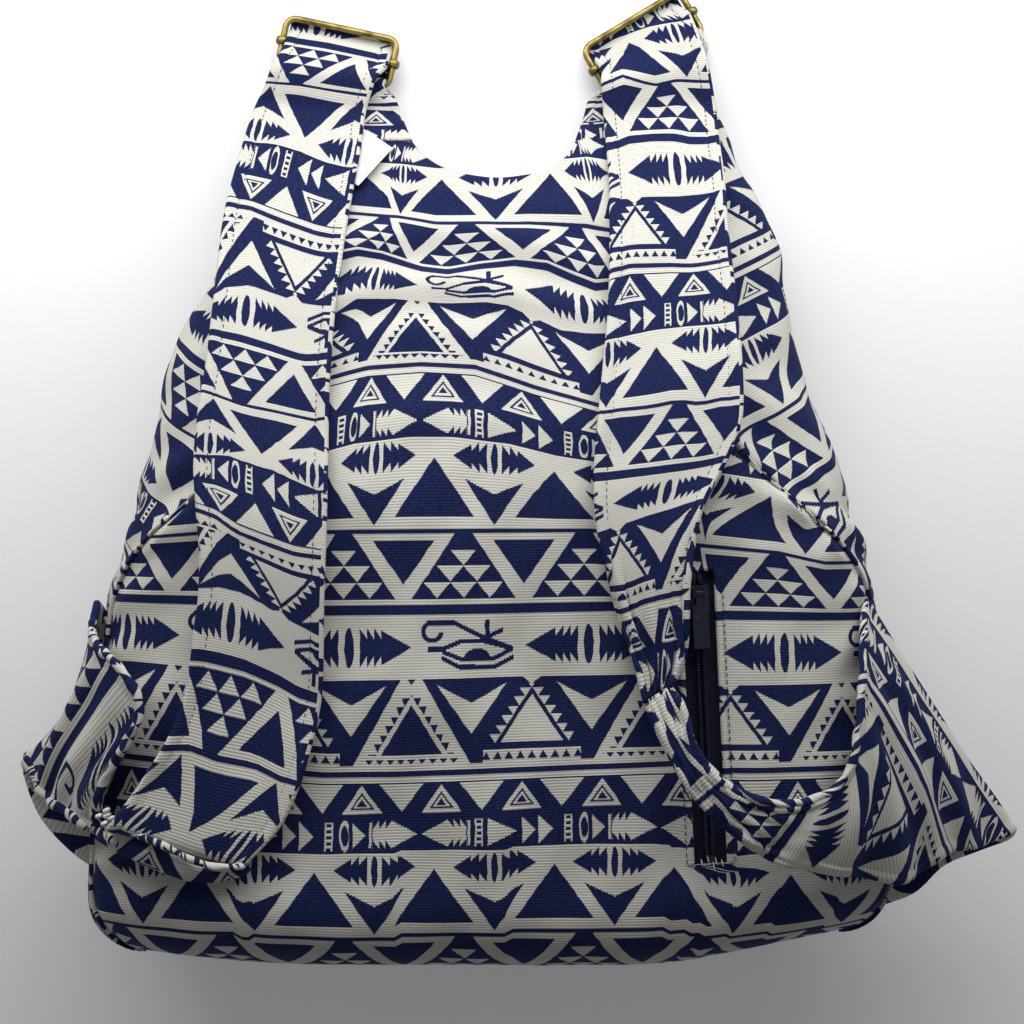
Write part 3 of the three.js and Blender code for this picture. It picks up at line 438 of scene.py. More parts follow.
def wovenCloth():
    material, shader = startFinish("woven_cloth")
    place = addNode("UVMap", uv_map="cloth").outputs[0]
    split = addNode("SeparateXYZ", {0: place}).outputs
    u = Term(split[0]) * (1 / weave["scale"])
    rawV = Term(split[1]) * (1 / weave["scale"])

    # slightly uneven picks, then each rib holds one shade across its height
    wobble = addNode("TexNoise", {"Vector": place, "Scale": 9, "Detail": 1})
    u = u + (Term(wobble.outputs[0]) - 0.5) * 2.6
    rib = weave["rib"]
    ribPlace = Term.of("FRACT", rawV * (1 / rib))
    v = Term.of("SNAP", rawV, rib / 2) + rib / 4
    v = v % weave["repeat"]

    cream = bandOfPeaks(u, v).flipped() & (v < 85)
    cream = cream | (bandOfPyramids(u, v) & (v > 90) & (v < 157))
    cream = cream | ((v > 157) & (v < 162))
    cream = cream | (bandOfFishes(u, v).flipped() & (v > 173) & (v < 238))
    cream = cream | (bandOfTeeth(u, v) & (v > 238) & (v < 323))
    cream = cream | (abs(abs(v - 332) - 6) < 3)
    cream = cream | (bandOfRings(u, v) & (v > 341) & (v < 374))
    cream = cream | (bandOfSigns(u, v) & (v > 374))

    # threads: painted shade along the thin groove between ribs, and fine warp flecks
    grooveShade = Term.of("GREATER_THAN", abs(ribPlace - 0.5), 0.37)
    stretch = addNode("Mapping", {"Vector": place, "Scale": (14, 46, 1)})
    noise = addNode("TexNoise", {"Vector": stretch.outputs[0], "Scale": 1.6, "Detail": 2})
    fleck = Term(noise.outputs[0])

    def mixColours(factor, first, second, most=1.0):
        share = addNode("MapRange", {"Value": factor, "To Max": most})
        mix = addNode("Mix", {"Factor": share.outputs[0], "A": first, "B": second}, data_type="RGBA")
        return mix.outputs["Result"]

    # the cream is darkened by painted shade along the grooves between ribs
    pale = mixColours(grooveShade, weave["cream"], weave["grooveShade"], 0.6)
    dark = mixColours((fleck - 0.36) * 3.2, weave["navy"], weave["navyPale"], 0.62)
    height = abs(ribPlace - 0.5) * -2 + fleck * 0.5 + cream * 0.35
    bump = addNode("Bump", {"Strength": 0.4, "Distance": 0.0003, "Height": height})
    feed(shader, {"Base Color": mixColours(cream, dark, pale), "Normal": bump.outputs[0], "Roughness": 0.86,
                  "Specular IOR Level": 0.1, "Sheen Weight": 0.015, "Sheen Roughness": 0.45})
    return material


clothMaterial = wovenCloth()
print("woven cloth has", len(clothMaterial.node_tree.nodes), "nodes")

# Body: the same lines as the solids that it covers
body = {"height": 367, "shoulderRise": 29, "bottomWidth": 372, "shoulderSpan": 206, "sideTaper": 2.4,
        "depth": 116, "shoulderDepth": 20, "fullDepthLength": 196, "depthTaper": 1.6, "section": 3.2,
        "settle": 3, "roundLength": 34, "roundWidth": 22, "roundDepth": 30, "seamAngle": 18,
        "shoulderSeamAngle": 60, "seamTurnStart": 153.5, "seamTurnEnd": 245.5, "wall": 1.8,
        "neckX": 2, "neckHalf": 46, "neckFlat": 15, "neckPower": 2.3, "neckSpreadY": 198}
bottomY = -body["height"] / 2
neckY = body["height"] / 2
shoulderY = neckY + body["shoulderRise"]
roundY = bottomY + body["roundLength"]


def halfWidthAt(y):
    share = np.clip((y - bottomY) / (shoulderY - bottomY), 0, 1)
    spread = (body["bottomWidth"] - body["shoulderSpan"]) / 2
    return body["shoulderSpan"] / 2 + spread * (1 - share ** body["sideTaper"])


def depthAt(y):
    start = bottomY + body["fullDepthLength"]
    share = np.clip((y - start) / (shoulderY - start), 0, 1)
    return body["shoulderDepth"] + (body["depth"] - body["shoulderDepth"]) * (1 - share ** body["depthTaper"])


def seamAngleAt(y):
    turn = smoothStep(y, bottomY + body["seamTurnStart"], bottomY + body["seamTurnEnd"])
    return np.radians(body["seamAngle"] + (body["shoulderSeamAngle"] - body["seamAngle"]) * turn)


def panelTop(x, y):
    share = np.minimum(np.abs(x) / halfWidthAt(y), 0.985)
    half = depthAt(y) / 2
    return half + half * (1 - share ** body["section"]) ** (1 / body["section"]) - body["settle"]


def signedPower(value, power):
    return np.sign(value) * np.abs(value) ** power


# Points of the body at heights y and angles round the section; end is the turn of the bottom edge, 0 to 1
def bodyPoints(y, angle, end):
    turn = end * math.pi / 2
    inset = 1 - np.cos(turn)
    half = depthAt(y) / 2
    halfWidth = halfWidthAt(y) - body["roundWidth"] * inset
    halfDepth = half - body["roundDepth"] * inset
    x = halfWidth * signedPower(np.cos(angle), 2 / body["section"])
    z = half + halfDepth * signedPower(np.sin(angle), 2 / body["section"]) - body["settle"]
    return np.stack([x, y - body["roundLength"] * np.sin(turn), np.maximum(z, 0)], axis=-1)


# The bag as it lies: bottom corners drawn up, the neckline down, sides and shoulders in or out.
# A corner's lift is (size, side, near x, far x, high y), a side's draw (size, low y, high y, soft, side,
# near x, far x)
lie = {"corners": ((13, 1, 60, 170, -95), (4, -1, 80, 175, -120)),
       "neckDrop": 4.8, "neckReach": 24, "neckDraw": 3.2,
       "sides": ((9, 55, 115, 32, 1, 95, 150), (-4, 35, 70, 25, -1, 120, 160), (-5, 125, 172, 22, 1, 60, 105),
                 (-6.5, 190, 235, 13, 1, 45, 85), (-3.5, 118, 165, 20, -1, 60, 110))}


def lieOfTheBag(points):
    x, y, z = points[..., 0], points[..., 1], points[..., 2]
    lift = 0
    for size, side, near, far, high in lie["corners"]:
        lift = lift + size * smoothStep(side * x, near, far) * (1 - smoothStep(y, -185, high))
    nearNeck = np.exp(-((x - body["neckX"]) / lie["neckReach"]) ** 2)
    lift = lift - lie["neckDrop"] * smoothStep(y, 150, 186) * nearNeck
    draw = 0
    for size, low, high, soft, side, near, far in lie["sides"]:
        draw = draw + size * window(y, low, high, soft) * smoothStep(side * x, near, far)
    draw = draw + lie["neckDraw"] * smoothStep(y, 168, 190) * window(x, -62, -30, 10)
    return np.stack([x - draw, y + lift, z], axis=-1)


def necklineAt(x):
    reach = np.abs(x - body["neckX"]) - body["neckFlat"]
    share = np.clip(reach / (body["neckHalf"] - body["neckFlat"]), 0, 1)
    return neckY + body["shoulderRise"] * share ** body["neckPower"]


panelGrid = {"endRows": 14, "lengthRows": 150, "backColumns": 150, "gussetColumns": 44, "frontColumns": 90}


# Rows from the bottom edge to the top; tops gives the top edge for each column
def bodyRows(tops):
    ends = np.linspace(1, 0, panelGrid["endRows"], endpoint=False)
    shares = np.linspace(0, 1, panelGrid["lengthRows"])
    y = np.concatenate([np.full((len(ends), len(tops)), roundY), roundY + shares[:, None] * (tops - roundY)])
    end = np.concatenate([np.repeat(ends[:, None], len(tops), axis=1), np.zeros((len(shares), len(tops)))])
    return y, end


# Lines of the pattern on the back, as seen: level of the cloth, then points in photo pixels
bandLines = (
    (-320.5, 60, ((345, 211), (397, 215), (435, 223), (494, 224), (528, 223), (587, 226), (611, 231))),
    (-240.5, 72, ((338, 256), (357, 251), (381, 255), (421, 269), (448, 273), (480, 266), (515, 262),
                  (547, 266), (574, 279), (595, 288), (611, 286))),
    (-170, 81, ((336, 314), (357, 299), (395, 298), (435, 302), (488, 302), (507, 305), (534, 318),
                (560, 331), (587, 334), (611, 334))),
    (-75, 95, ((329, 378), (368, 368), (421, 364), (475, 367), (534, 388), (606, 409))),
    (0, 106, ((140, 478), (325, 452), (354, 444), (410, 437), (452, 437), (509, 444), (556, 456),
              (594, 462), (700, 470), (830, 490))),
    (87.5, 112, ((148, 537), (200, 533), (325, 532), (591, 530), (696, 545), (780, 553), (829, 564))),
    (167.5, 113, ((120, 600), (201, 601), (325, 611), (485, 609), (615, 606), (711, 615), (854, 618))),
    (238, 113, ((123, 664), (192, 668), (325, 681), (633, 674), (724, 686), (858, 686))),
    (332, 113, ((120, 760), (325, 775), (395, 774), (681, 763), (724, 771), (900, 771))),
    (408, 110, ((110, 848), (257, 853), (325, 854), (580, 843), (650, 842), (722, 855), (870, 857))),
)
fishX = fromPhoto(348, 647, 113)[0]  # the pattern's zero line across
zipShift = 40  # cloth taken up at the zip


def backPattern(points):
    x, y = points[..., 0], points[..., 1]
    middle = points.shape[1] // 2
    arc = arcAcross(points)
    across = arc - arc[:, middle:middle + 1] + x[:, middle:middle + 1]
    beyondZip = smoothStep(x, 89, 96) * smoothStep(y, -138, -134) * (1 - smoothStep(y, 8, 40))
    u = (across - fishX) * unitsPerMm + zipShift * beyondZip
    depths, values = [], []
    for value, level, line in bandLines:
        places = np.array([fromPhoto(px, py, level) for px, py in line])
        depths.append(-np.interp(x, places[:, 0], places[:, 1]))
        values.append(value)
    drawnTop = np.interp(x, (-45, 45), (1.36, 1.03))  # the cloth is drawn together above the first line
    aboveFirst = values[0] - (depths[0] + y) * unitsPerMm * drawnTop
    v = betweenLines(-y, depths, values, aboveFirst)
    # past the last line the cloth rounds the bottom, so it is measured along itself
    steps = np.linalg.norm(np.diff(points, axis=0), axis=2)
    along = np.concatenate([np.cumsum(steps[::-1], axis=0)[::-1], np.zeros((1, points.shape[1]))])
    last = -depths[-1]
    atLast = np.take_along_axis(along, np.argmin(np.abs(y - last), axis=0)[None], axis=0)
    v = np.where(y < last, values[-1] + (along - atLast) * unitsPerMm, v)
    return clothUv(u, v)


# No movement at the bottom seam and little at the top edge
def sewnEnds(rows):
    place = np.arange(rows)[:, None]
    return smoothStep(place, 0, 9) * (1 - 0.8 * smoothStep(place, rows - 8, rows - 1))


# Folds of the back: their heights, and how far apart they come
backFolds = {"swell": 1.3, "swellWave": 85, "crumple": 0.5, "crumpleWave": 36, "shoulder": 2.4,
             "shoulderWave": 27, "ridge": 2.2, "ridgeWidth": 9, "pucker": 1.8, "puckerWave": 23,
             "puckerReach": 18, "full": 1.2}


def backWrinkles(points, seamDistance):
    x, y = points[..., 0], points[..., 1]
    move = backFolds["swell"] * ripple(x, y, backFolds["swellWave"], 3)
    move = move + backFolds["crumple"] * ripple(x, y, backFolds["crumpleWave"], 5)
    wave = y + 9 * np.sin((x - 20) / 30)
    shoulderFolds = np.sin(2 * math.pi * wave / backFolds["shoulderWave"])
    move = move + backFolds["shoulder"] * window(y, 104, 158, 14) * shoulderFolds
    ridge = 62 - (x + 30) ** 2 / 700
    move = move + backFolds["ridge"] * np.exp(-((y - ridge) / backFolds["ridgeWidth"]) ** 2)
    pucker = np.sin(2 * math.pi * (y + 6 * np.sin(x / 17)) / backFolds["puckerWave"])
    move = move + backFolds["pucker"] * np.exp(-seamDistance / backFolds["puckerReach"]) * pucker
    still = window(x, 78, 110, 6) * window(y, -142, 4, 8)  # flat where the zip lies
    return (move + backFolds["full"]) * (1 - still) * smoothStep(seamDistance, 0, 8) * sewnEnds(len(y))


def addBack():
    q = np.linspace(-1, 1, panelGrid["backColumns"])
    lean = np.sin(q * math.pi / 2)
    topShare = np.cos(seamAngleAt(shoulderY)) ** (2 / body["section"])
    tops = necklineAt(lean * topShare * halfWidthAt(body["neckSpreadY"]))
    y, end = bodyRows(tops)
    share = np.cos(seamAngleAt(y)) ** (2 / body["section"]) * lean
    angle = np.arccos(np.clip(signedPower(share, body["section"] / 2), -1, 1))
    points = lieOfTheBag(bodyPoints(y, angle, end))
    arc = arcAcross(points)
    seamDistance = np.minimum(arc, arc[:, -1:] - arc)
    points = points + gridNormals(points) * backWrinkles(points, seamDistance)[..., None]
    piece = clothPanel("back_cloth", points, backPattern(points), body["wall"])
    cutSlit(piece)
    return piece, points


zipPlace = {"x": 93, "middleRise": 113.6, "length": 128, "slant": 2.8, "slit": 15}


def zipMatrix():
    y = bottomY + zipPlace["middleRise"]
    x, half = zipPlace["x"], zipPlace["slit"] / 2
    tilt = math.atan2(float(panelTop(x - half, y) - panelTop(x + half, y)), zipPlace["slit"])
    turn = Matrix.Rotation(math.radians(zipPlace["slant"]), 4, "Z") @ Matrix.Rotation(tilt, 4, "Y")
    return Matrix.Translation((x * mm, y * mm, float(panelTop(x, y)) * mm)) @ turn


# The slit for the zip, cut as a long box through the panel
def cutSlit(piece):
    bpy.ops.object.select_all(action="DESELECT")
    bpy.ops.mesh.primitive_cube_add(size=1)
    cutter = bpy.context.object
    cutter.scale = (zipPlace["slit"] * mm, zipPlace["length"] * mm, 30 * mm)
    bpy.ops.object.transform_apply(location=False, rotation=False, scale=True)
    cutter.data.transform(zipMatrix())
    cut = piece.modifiers.new("slit", "BOOLEAN")
    cut.operation = "DIFFERENCE"
    cut.solver = "EXACT"
    cut.object = cutter
    applyAll(piece)
    bpy.data.objects.remove(cutter)


# How the pattern runs on each gusset: its lean, and its start and pace down and across
gussetRuns = {1: {"lean": 27, "down": (79, -2.36), "across": (38, 2.3)},
              -1: {"lean": 30, "down": (149, 2.55), "across": (95, 2.4)}}


def gussetPattern(points, side):
    arc = arcAcross(points)
    seamX = np.abs(points[:, -1:, 0]) if side > 0 else np.abs(points[:, :1, 0])
    outward = seamX + (arc[:, -1:] - arc if side > 0 else arc)
    y = points[..., 1]
    lean = math.radians(gussetRuns[side]["lean"])
    start, pace = gussetRuns[side]["down"]
    v = start + pace * (y * math.cos(lean) - outward * math.sin(lean))
    start, pace = gussetRuns[side]["across"]
    u = start + pace * (outward * math.cos(lean) + y * math.sin(lean))
    return clothUv(u, v)


gussetFolds = {"bulge": 5.5, "swell": 1.2, "swellWave": 60, "crumple": 0.8, "crumpleWave": 30, "fan": 1.5,
               "fanWave": 31, "full": 1.2, "seamFold": (3.4, 3.6, 4.6), "seamFoldWidth": 5.5}


def addGusset(name, side):
    tops = np.full(panelGrid["gussetColumns"], shoulderY)
    y, end = bodyRows(tops)
    share = np.linspace(0, 1, panelGrid["gussetColumns"])
    front = -math.radians(body["seamAngle"])
    angle = front + share * (seamAngleAt(y) - front)
    if side < 0:
        angle = math.pi - angle[:, ::-1]
    points = lieOfTheBag(bodyPoints(y, angle, end))
    arc = arcAcross(points)
    fromBack = arc[:, -1:] - arc if side > 0 else arc
    fromFront = arc if side > 0 else arc[:, -1:] - arc
    y = points[..., 1]
    move = gussetFolds["bulge"] * window(y, 0, 150, 26)
    move = move * smoothStep(fromBack, 0, 16) * (1 - smoothStep(fromBack, 30, 90))
    move = move + gussetFolds["swell"] * ripple(y, fromBack, gussetFolds["swellWave"], 11 + side)
    move = move + gussetFolds["crumple"] * ripple(y, fromBack, gussetFolds["crumpleWave"], 21 + side)
    fan = np.sin(2 * math.pi * (y + fromBack * 0.5) / gussetFolds["fanWave"])
    move = move + gussetFolds["fan"] * fan * np.exp(-fromBack / 40) * window(y, -10, 120, 25)
    move = move + gussetFolds["full"]
    move = move * smoothStep(fromBack, 0, 7) * smoothStep(fromFront, 0, 7) * sewnEnds(len(y))
    points = points + gridNormals(points) * move[..., None]
    # a fold lies up over the back seam
    fold = window(y, 6, 66, 14) * np.exp(-((fromBack - 8) / gussetFolds["seamFoldWidth"]) ** 2)
    inward, down, up = gussetFolds["seamFold"]
    points = points + fold[..., None] * np.array([-side * inward, -down, up])
    points[..., 2] = np.maximum(points[..., 2], 0)
    return clothPanel(name, points, gussetPattern(points, side), body["wall"])


def addFront():
    q = np.linspace(-1, 1, panelGrid["frontColumns"])
    reach = math.cos(math.radians(body["seamAngle"])) ** (2 / body["section"])
    share = np.sin(q * math.pi / 2) * reach
    tops = necklineAt(-share * halfWidthAt(body["neckSpreadY"]))
    y, end = bodyRows(tops)
    angle = math.pi + np.arccos(np.clip(signedPower(share, body["section"] / 2), -1, 1))
    angle = np.broadcast_to(angle, y.shape)
    points = lieOfTheBag(bodyPoints(y, angle, end))
    arc = arcAcross(points)
    fromSeam = np.minimum(arc, arc[:, -1:] - arc)
    lift = 0.8 * ripple(points[..., 0], points[..., 1], 70, 31)
    lift = lift * smoothStep(fromSeam, 0, 10) * sewnEnds(len(y))
    points[..., 2] = np.maximum(points[..., 2] + lift, 0)
    uv = clothUv(arc * unitsPerMm, -points[..., 1] * unitsPerMm + 133)
    return clothPanel("front_cloth", points, uv, body["wall"])


# Bottom: rings of the end section drawn to its middle, a little full
def addBottom():
    turns = np.linspace(0, 2 * math.pi, 120, endpoint=False)
    ringShares = np.linspace(0.02, 1, 16)
    edge = lieOfTheBag(bodyPoints(np.full(turns.shape, roundY), turns, np.ones(turns.shape)))
    middle = edge.mean(axis=0)
    rows = [middle + (edge - middle) * share - np.array([0, 5 * (1 - share ** 2), 0]) for share in ringShares]
    points = np.stack(rows)
    points = np.concatenate([points, points[:, :1]], axis=1)
    uv = clothUv(points[..., 0] * unitsPerMm, points[..., 2] * unitsPerMm + 90)
    return clothPanel("bottom_cloth", points[:, ::-1], uv[:, ::-1], body["wall"])


backPiece, backPoints = addBack()
leftGusset = addGusset("left_gusset_cloth", -1)
rightGusset = addGusset("right_gusset_cloth", 1)
frontPiece = addFront()
bottomPiece = addBottom()
for piece, node in ((backPiece, "back_panel"), (leftGusset, "left_gusset"), (rightGusset, "right_gusset"),
                    (frontPiece, "front_panel"), (bottomPiece, "bottom_panel")):
    fit(piece, "bag", "woven_cloth", clothMaterial, node)
print("body panels sewn")


# Photo pixels at which points of the bag show
def toPhoto(points):
    scale = cameraView["span"] / cameraView["pixels"] * (1 - points[..., 2] / cameraView["height"])
    middle = cameraView["pixels"] / 2
    px = middle + (points[..., 0] - cameraView["x"]) / scale
    py = middle - (points[..., 1] - cameraView["y"]) / scale
    return px, py


# Place down the repeat from lines of the pattern as they show, the topmost line first
def patternBetween(px, py, lines):
    heights, values = [], []
    for value, line in lines:
        line = np.array(line, float)
        heights.append(np.interp(px, line[:, 0], line[:, 1]))
        values.append(value)
    return betweenLines(py, heights, values)


# A band's two edges in rows of even spacing, and the length along its middle
def evenRows(rows, spacing):
    length = arcAlong((rows[:, :3] + rows[:, 3:]) / 2)
    places = np.linspace(0, length[-1], int(length[-1] / spacing) + 1)
    return np.stack([np.interp(places, length, rows[:, k]) for k in range(6)], axis=1), places


buckles = {"left": {"x": -76.3, "y": 245, "turn": -12}, "right": {"x": 73.2, "y": 250.5, "turn": 31}}
buckleSize = {"z": 9.4, "halfWidth": 27.6, "halfHeight": 12, "corner": 5, "wire": 1.6, "bar": 1.5,
              "eye": 2.6, "eyeWire": 0.75}


def buckleMatrix(side):
    place = buckles[side]
    return (Matrix.Translation((place["x"] * mm, place["y"] * mm, buckleSize["z"] * mm))
            @ Matrix.Rotation(math.radians(place["turn"]), 4, "Z"))


# Edge points across a buckle: rows of (along, up) in the buckle's own frame
def buckleRows(side, rows, half):
    place = buckles[side]
    turn = math.radians(place["turn"])
    out = []
    for along, up in rows:
        ends = []
        for across in (-half, half):
            ends += [place["x"] + across * math.cos(turn) - along * math.sin(turn),
                     place["y"] + across * math.sin(turn) + along * math.cos(turn), buckleSize["z"] + up]
        out.append(ends)
    return out


# Straps: both edges as seen, from the buckle down, and lines of the pattern with their place in the repeat
leftStrap = {
    "side": "left", "gap": 7.5, "width": 50, "uStart": 207, "uScale": -2.66, "seed": 41,
    "edges": ((275, 66, 374, 77), (267.5, 86, 367.5, 96), (258, 108, 362.5, 117), (248, 141, 358, 150),
              (236, 182, 351, 186), (227, 220, 344, 226), (221, 262, 338, 270), (216, 310, 332, 318),
              (209, 366, 327.5, 372),
              (201, 415, 325.5, 425), (197, 465, 325, 477), (199.5, 509, 324, 525), (203, 550, 322.5, 572),
              (202.5, 593, 321, 618), (198, 628, 320.5, 655), (194, 662, 319, 690), (188, 697, 315, 718),
              (172, 737, 307, 752), (150, 773, 296, 788), (131, 801, 277, 827), (114.5, 822, 247, 860)),
    "lines": ((575.5, ((283, 40.6), (329, 48), (380, 59))),
              (495.5, ((269, 82), (299.5, 84), (333, 90), (369, 95.5))),
              (408, ((247, 146), (271, 146), (299.5, 152.6), (326, 163), (351, 170))),
              (333, ((231, 209), (250, 210.6), (283, 222), (316, 234), (341, 239.6))),
              (238, ((218, 297), (226, 290), (250, 286), (274, 295), (301, 304.6), (333, 311))),
              (167.5, ((215, 335), (239, 338), (271.4, 347.4), (303.6, 358), (329, 359))),
              (87.5, ((203, 394), (215, 396), (244.6, 406), (274, 411), (314, 420), (325, 419))),
              (0, ((199.7, 456), (228, 456), (253.4, 464.7), (274.5, 471), (295.5, 481.6), (318.7, 492))),
              (-75, ((199, 511), (215.5, 516.5), (236.6, 532), (266, 543.6), (295.5, 554), (321, 557))),
              (-170, ((206, 588), (220, 587), (241, 592), (264, 604), (285, 618), (319, 635))),
              (-240.5, ((199, 653), (216, 656.5), (244, 664), (277, 679), (298.6, 692), (320, 698))),
              (-320.5, ((168.5, 746.6), (190, 747), (218, 758.5), (255, 766), (281, 779), (298.6, 783))),
              (-408, ((120, 828), (164, 846), (200, 860), (244, 868)))),
}
rightStrap = {
    "side": "right", "gap": 7.5, "width": 50, "uStart": 226, "uScale": 2.75, "seed": 43,
    "edges": ((604, 81, 704, 60), (605, 97, 709, 84), (606.5, 118, 713, 110), (609, 145, 716, 140),
              (612, 185, 721, 180), (612.5, 236, 725, 228), (612, 281, 730, 276), (610, 321, 734.5, 316),
              (606, 364, 738, 356),
              (602, 409, 740, 398), (599, 440, 738, 426), (597, 470, 727, 455), (597, 500, 713, 482),
              (600, 530, 700, 510), (607, 560, 692, 545), (616, 600, 687, 586), (626, 631, 686, 622),
              (635, 657, 685, 648), (641, 682, 679, 672), (646, 702, 669, 687)),
    "lines": ((0, ((595.7, 51.4), (614.7, 39.8), (639.6, 31.5), (666, 25), (693, 20.7))),
              (87.5, ((604, 84.6), (623, 77), (639.6, 81.3), (654.5, 85.4), (676, 80.4), (706, 82))),
              (167.5, ((610.6, 148.4), (629.7, 140), (653, 138.5), (676, 139.3), (689, 142.6), (713, 143.4))),
              (238, ((613, 202), (626, 202), (641, 199.8), (676, 199.8), (701, 198), (722, 195.7))),
              (333, ((611.8, 275), (630, 268.5), (667.5, 266), (694, 267), (722.4, 264.5))),
              (408, ((608, 342), (630, 335.5), (654, 330), (683.6, 327.4), (725, 326))),
              (495.5, ((603, 416), (619, 412), (651, 408), (678, 402.4), (699.7, 405), (720, 401))),
              (575.5, ((595, 479), (650, 472), (700, 464), (722, 460))),
              (646, ((600, 532), (650, 515), (700, 500))),
              (740, ((622.5, 611), (645, 601), (673.5, 594), (689, 591))),
              (782, ((634, 657), (645, 651), (689, 642))),
              (816, ((646.6, 704), (668, 687)))),
}
strapFolds = {"swell": 1.5, "swellWave": 95, "crown": 1.6, "crumple": 0.5, "crumpleWave": 34, "pleat": 2.3,
              "pleats": 6.5, "ply": 1.15, "hem": 1.5}
# The cloth turns under the bare top wire and comes back over the centre bar: (along, up) at the buckle
strapWrap = {"half": 24.4,
             "rows": ((-19, -7.3), (-6, -7.3), (4, -7.3), (10.4, -7.3), (12.2, -5.6), (10.4, -3.9),
                      (7.2, -3.75), (4.4, -2.3), (2.8, 1.1), (0.6, 3.2), (-3, 4.8))}
hemSteps = (0, 0.7, 1.7, 2.8, 3.5, 4.0, 4.5, 5.4, 7, 9.5, 12.5, 16, 20)


# Places across a band, closer together by its edges where the hem is stitched
def bandPlaces(width):
    near = np.array(hemSteps) / width
    return np.concatenate([near, [0.5], 1 - near[::-1]])


# Half the cloth's thickness: fuller in the hem, drawn in along its stitches
def hemHalf(fromEdge, plain, hem):
    half = plain + (hem - plain) * (1 - smoothStep(fromEdge, 3.2, 5.2))
    return half - 0.5 * np.exp(-((fromEdge - 4.0) / 0.55) ** 2)


def strapHeight(x, y, gap):
    return float(panelTop(min(max(x, -100), 100), y)) + gap + 1.3


def addStrap(name, strap, foldRows=None):
    rows = buckleRows(strap["side"], strapWrap["rows"], strapWrap["half"])
    for xl, yl, xr, yr in strap["edges"]:
        level = 60
        for _ in range(6):
            a, b = fromPhoto(xl, yl, level), fromPhoto(xr, yr, level)
            level = strapHeight((a[0] + b[0]) / 2, (a[1] + b[1]) / 2, strap["gap"])
        rows.append([*a, level, *b, level])
    if foldRows:
        rows += foldRows(rows)
    edges, along = evenRows(curveThrough(rows, 900), 2.1)
    places = bandPlaces(strap["width"])
    middle, width = acrossBand(edges, places)
    px, py = toPhoto(middle)
    down = along[:, None]
    free = smoothStep(down, 62, 110) * (1 - smoothStep(down, along[-1] - 70, along[-1] - 40))
    reach = (places - 0.5)[None, :] * np.maximum(width, strap["width"] * 0.94)
    crown = strapFolds["crown"] * (2 * places - 1)[None, :] ** 4
    lift = free * (strapFolds["swell"] * ripple(down, reach, strapFolds["swellWave"], strap["seed"]) - crown)
    crumple = ripple(down, reach, strapFolds["crumpleWave"], strap["seed"] + 1)
    lift = lift + free * strapFolds["crumple"] * crumple
    # pleats where the strap is drawn narrow
    tight = 1 - np.clip(width / strap["width"], 0, 1)
    tight = smoothStep(tight, 0.12, 0.5) * (down > 150)
    pleats = 2 * math.pi * strapFolds["pleats"] * places[None, :] + 1.3 * np.sin(down / 13)
    lift = lift + strapFolds["pleat"] * tight * np.sin(pleats)
    middle = middle + gridNormals(middle) * lift[..., None]
    fromEdge = np.minimum(places, 1 - places)[None, :] * width
    half = hemHalf(fromEdge, strapFolds["ply"], strapFolds["hem"])
    v = patternBetween(px, py, strap["lines"])
    under = along < 32
    start = int(np.argmin(np.abs(along - 32)))
    v[under] = v[start] - (along[under, None] - along[start]) * unitsPerMm * np.sign(strap["uScale"]) * -1
    u = strap["uStart"] + strap["uScale"] * reach
    return clothBand(name, middle, half, clothUv(u, v), len(along) // 2), middle


# The left strap's end turns under on itself
def leftFold(rows):
    last, before = np.array(rows[-1]), np.array(rows[-2])
    ahead = unit(((last - before)[:3] + (last - before)[3:])[None])[0] * np.array([1, 1, 0])
    out = []
    for forward, down in ((3.4, 1.4), (4.6, 4.2), (3.0, 7.2), (-3, 8.0), (-12, 8.0)):
        step = ahead * forward - np.array([0, 0, down])
        out.append(list(np.concatenate([last[:3] + step, last[3:] + step])))
    return out


leftStrapPiece, leftStrapGrid = addStrap("left_strap_cloth", leftStrap, leftFold)
rightStrapPiece, rightStrapGrid = addStrap("right_strap_cloth", rightStrap)
print("straps cut")

# Side tabs: rows from the strap to the outer fold and back under it to the side seam,
# as (inner x, y, level, outer x, y, level, place in the repeat)
rightTab = {"seed": 51, "uStart": 280, "uUnder": 0, "uTurn": -1, "bulge": 5, "foldRow": 13,
            "sag": 0, "rows": (
    (669, 687, 121, 646, 702, 121, 2), (684, 712, 124, 657, 727, 124, 24),
    (692, 742, 126, 671, 755, 126, 48), (706, 765, 126, 686, 782, 126, 70),
    (727, 784, 126, 703, 804, 125, 92), (765, 801, 125, 735, 834, 123, 128),
    (808, 801, 124, 769, 857, 120, 167), (836, 787, 122, 808, 868, 116, 203),
    (852, 762, 120, 848, 873, 108, 238), (859, 722, 117, 905, 879, 96, 285),
    (862, 680, 112, 944, 853, 84, 332), (863, 645, 104, 977, 845, 72, 374),
    (864, 618, 95, 1003, 834, 64, 404), (866, 603, 88, 1012, 830, 60, 420),
    (869, 604, 82, 1008, 836, 54, 440), (868, 606, 76, 977, 847, 48, 470), (862, 612, 72, 942, 862, 46, 500),
    (855, 622, 72, 912, 890, 47, 530), (842, 640, 72, 872, 905, 50, 565))}
leftTab = {"seed": 53, "uStart": -47, "uUnder": 5, "uTurn": 1, "bulge": 4, "foldRow": 9,
           "sag": 8, "rows": (
    (106, 823, 100, 103, 830, 98, 252), (99, 803, 104, 95, 829, 96, 240), (112, 767, 110, 85, 822, 93, 225),
    (128, 741, 114, 72, 814, 89, 212), (139, 714, 116, 62, 807, 84, 198), (134, 688, 115, 54, 800, 78, 182),
    (118, 665, 111, 46, 794, 72, 166), (101, 649, 104, 37, 780, 66, 142), (92, 631, 95, 30, 766, 62, 120),
    (96, 606, 87, 26, 755, 60, 104),
    (97, 604, 80, 26, 774, 52, 96), (99, 606, 74, 42, 812, 46, 76), (104, 612, 70, 70, 845, 44, 56),
    (109, 622, 72, 99, 868, 46, 34))}
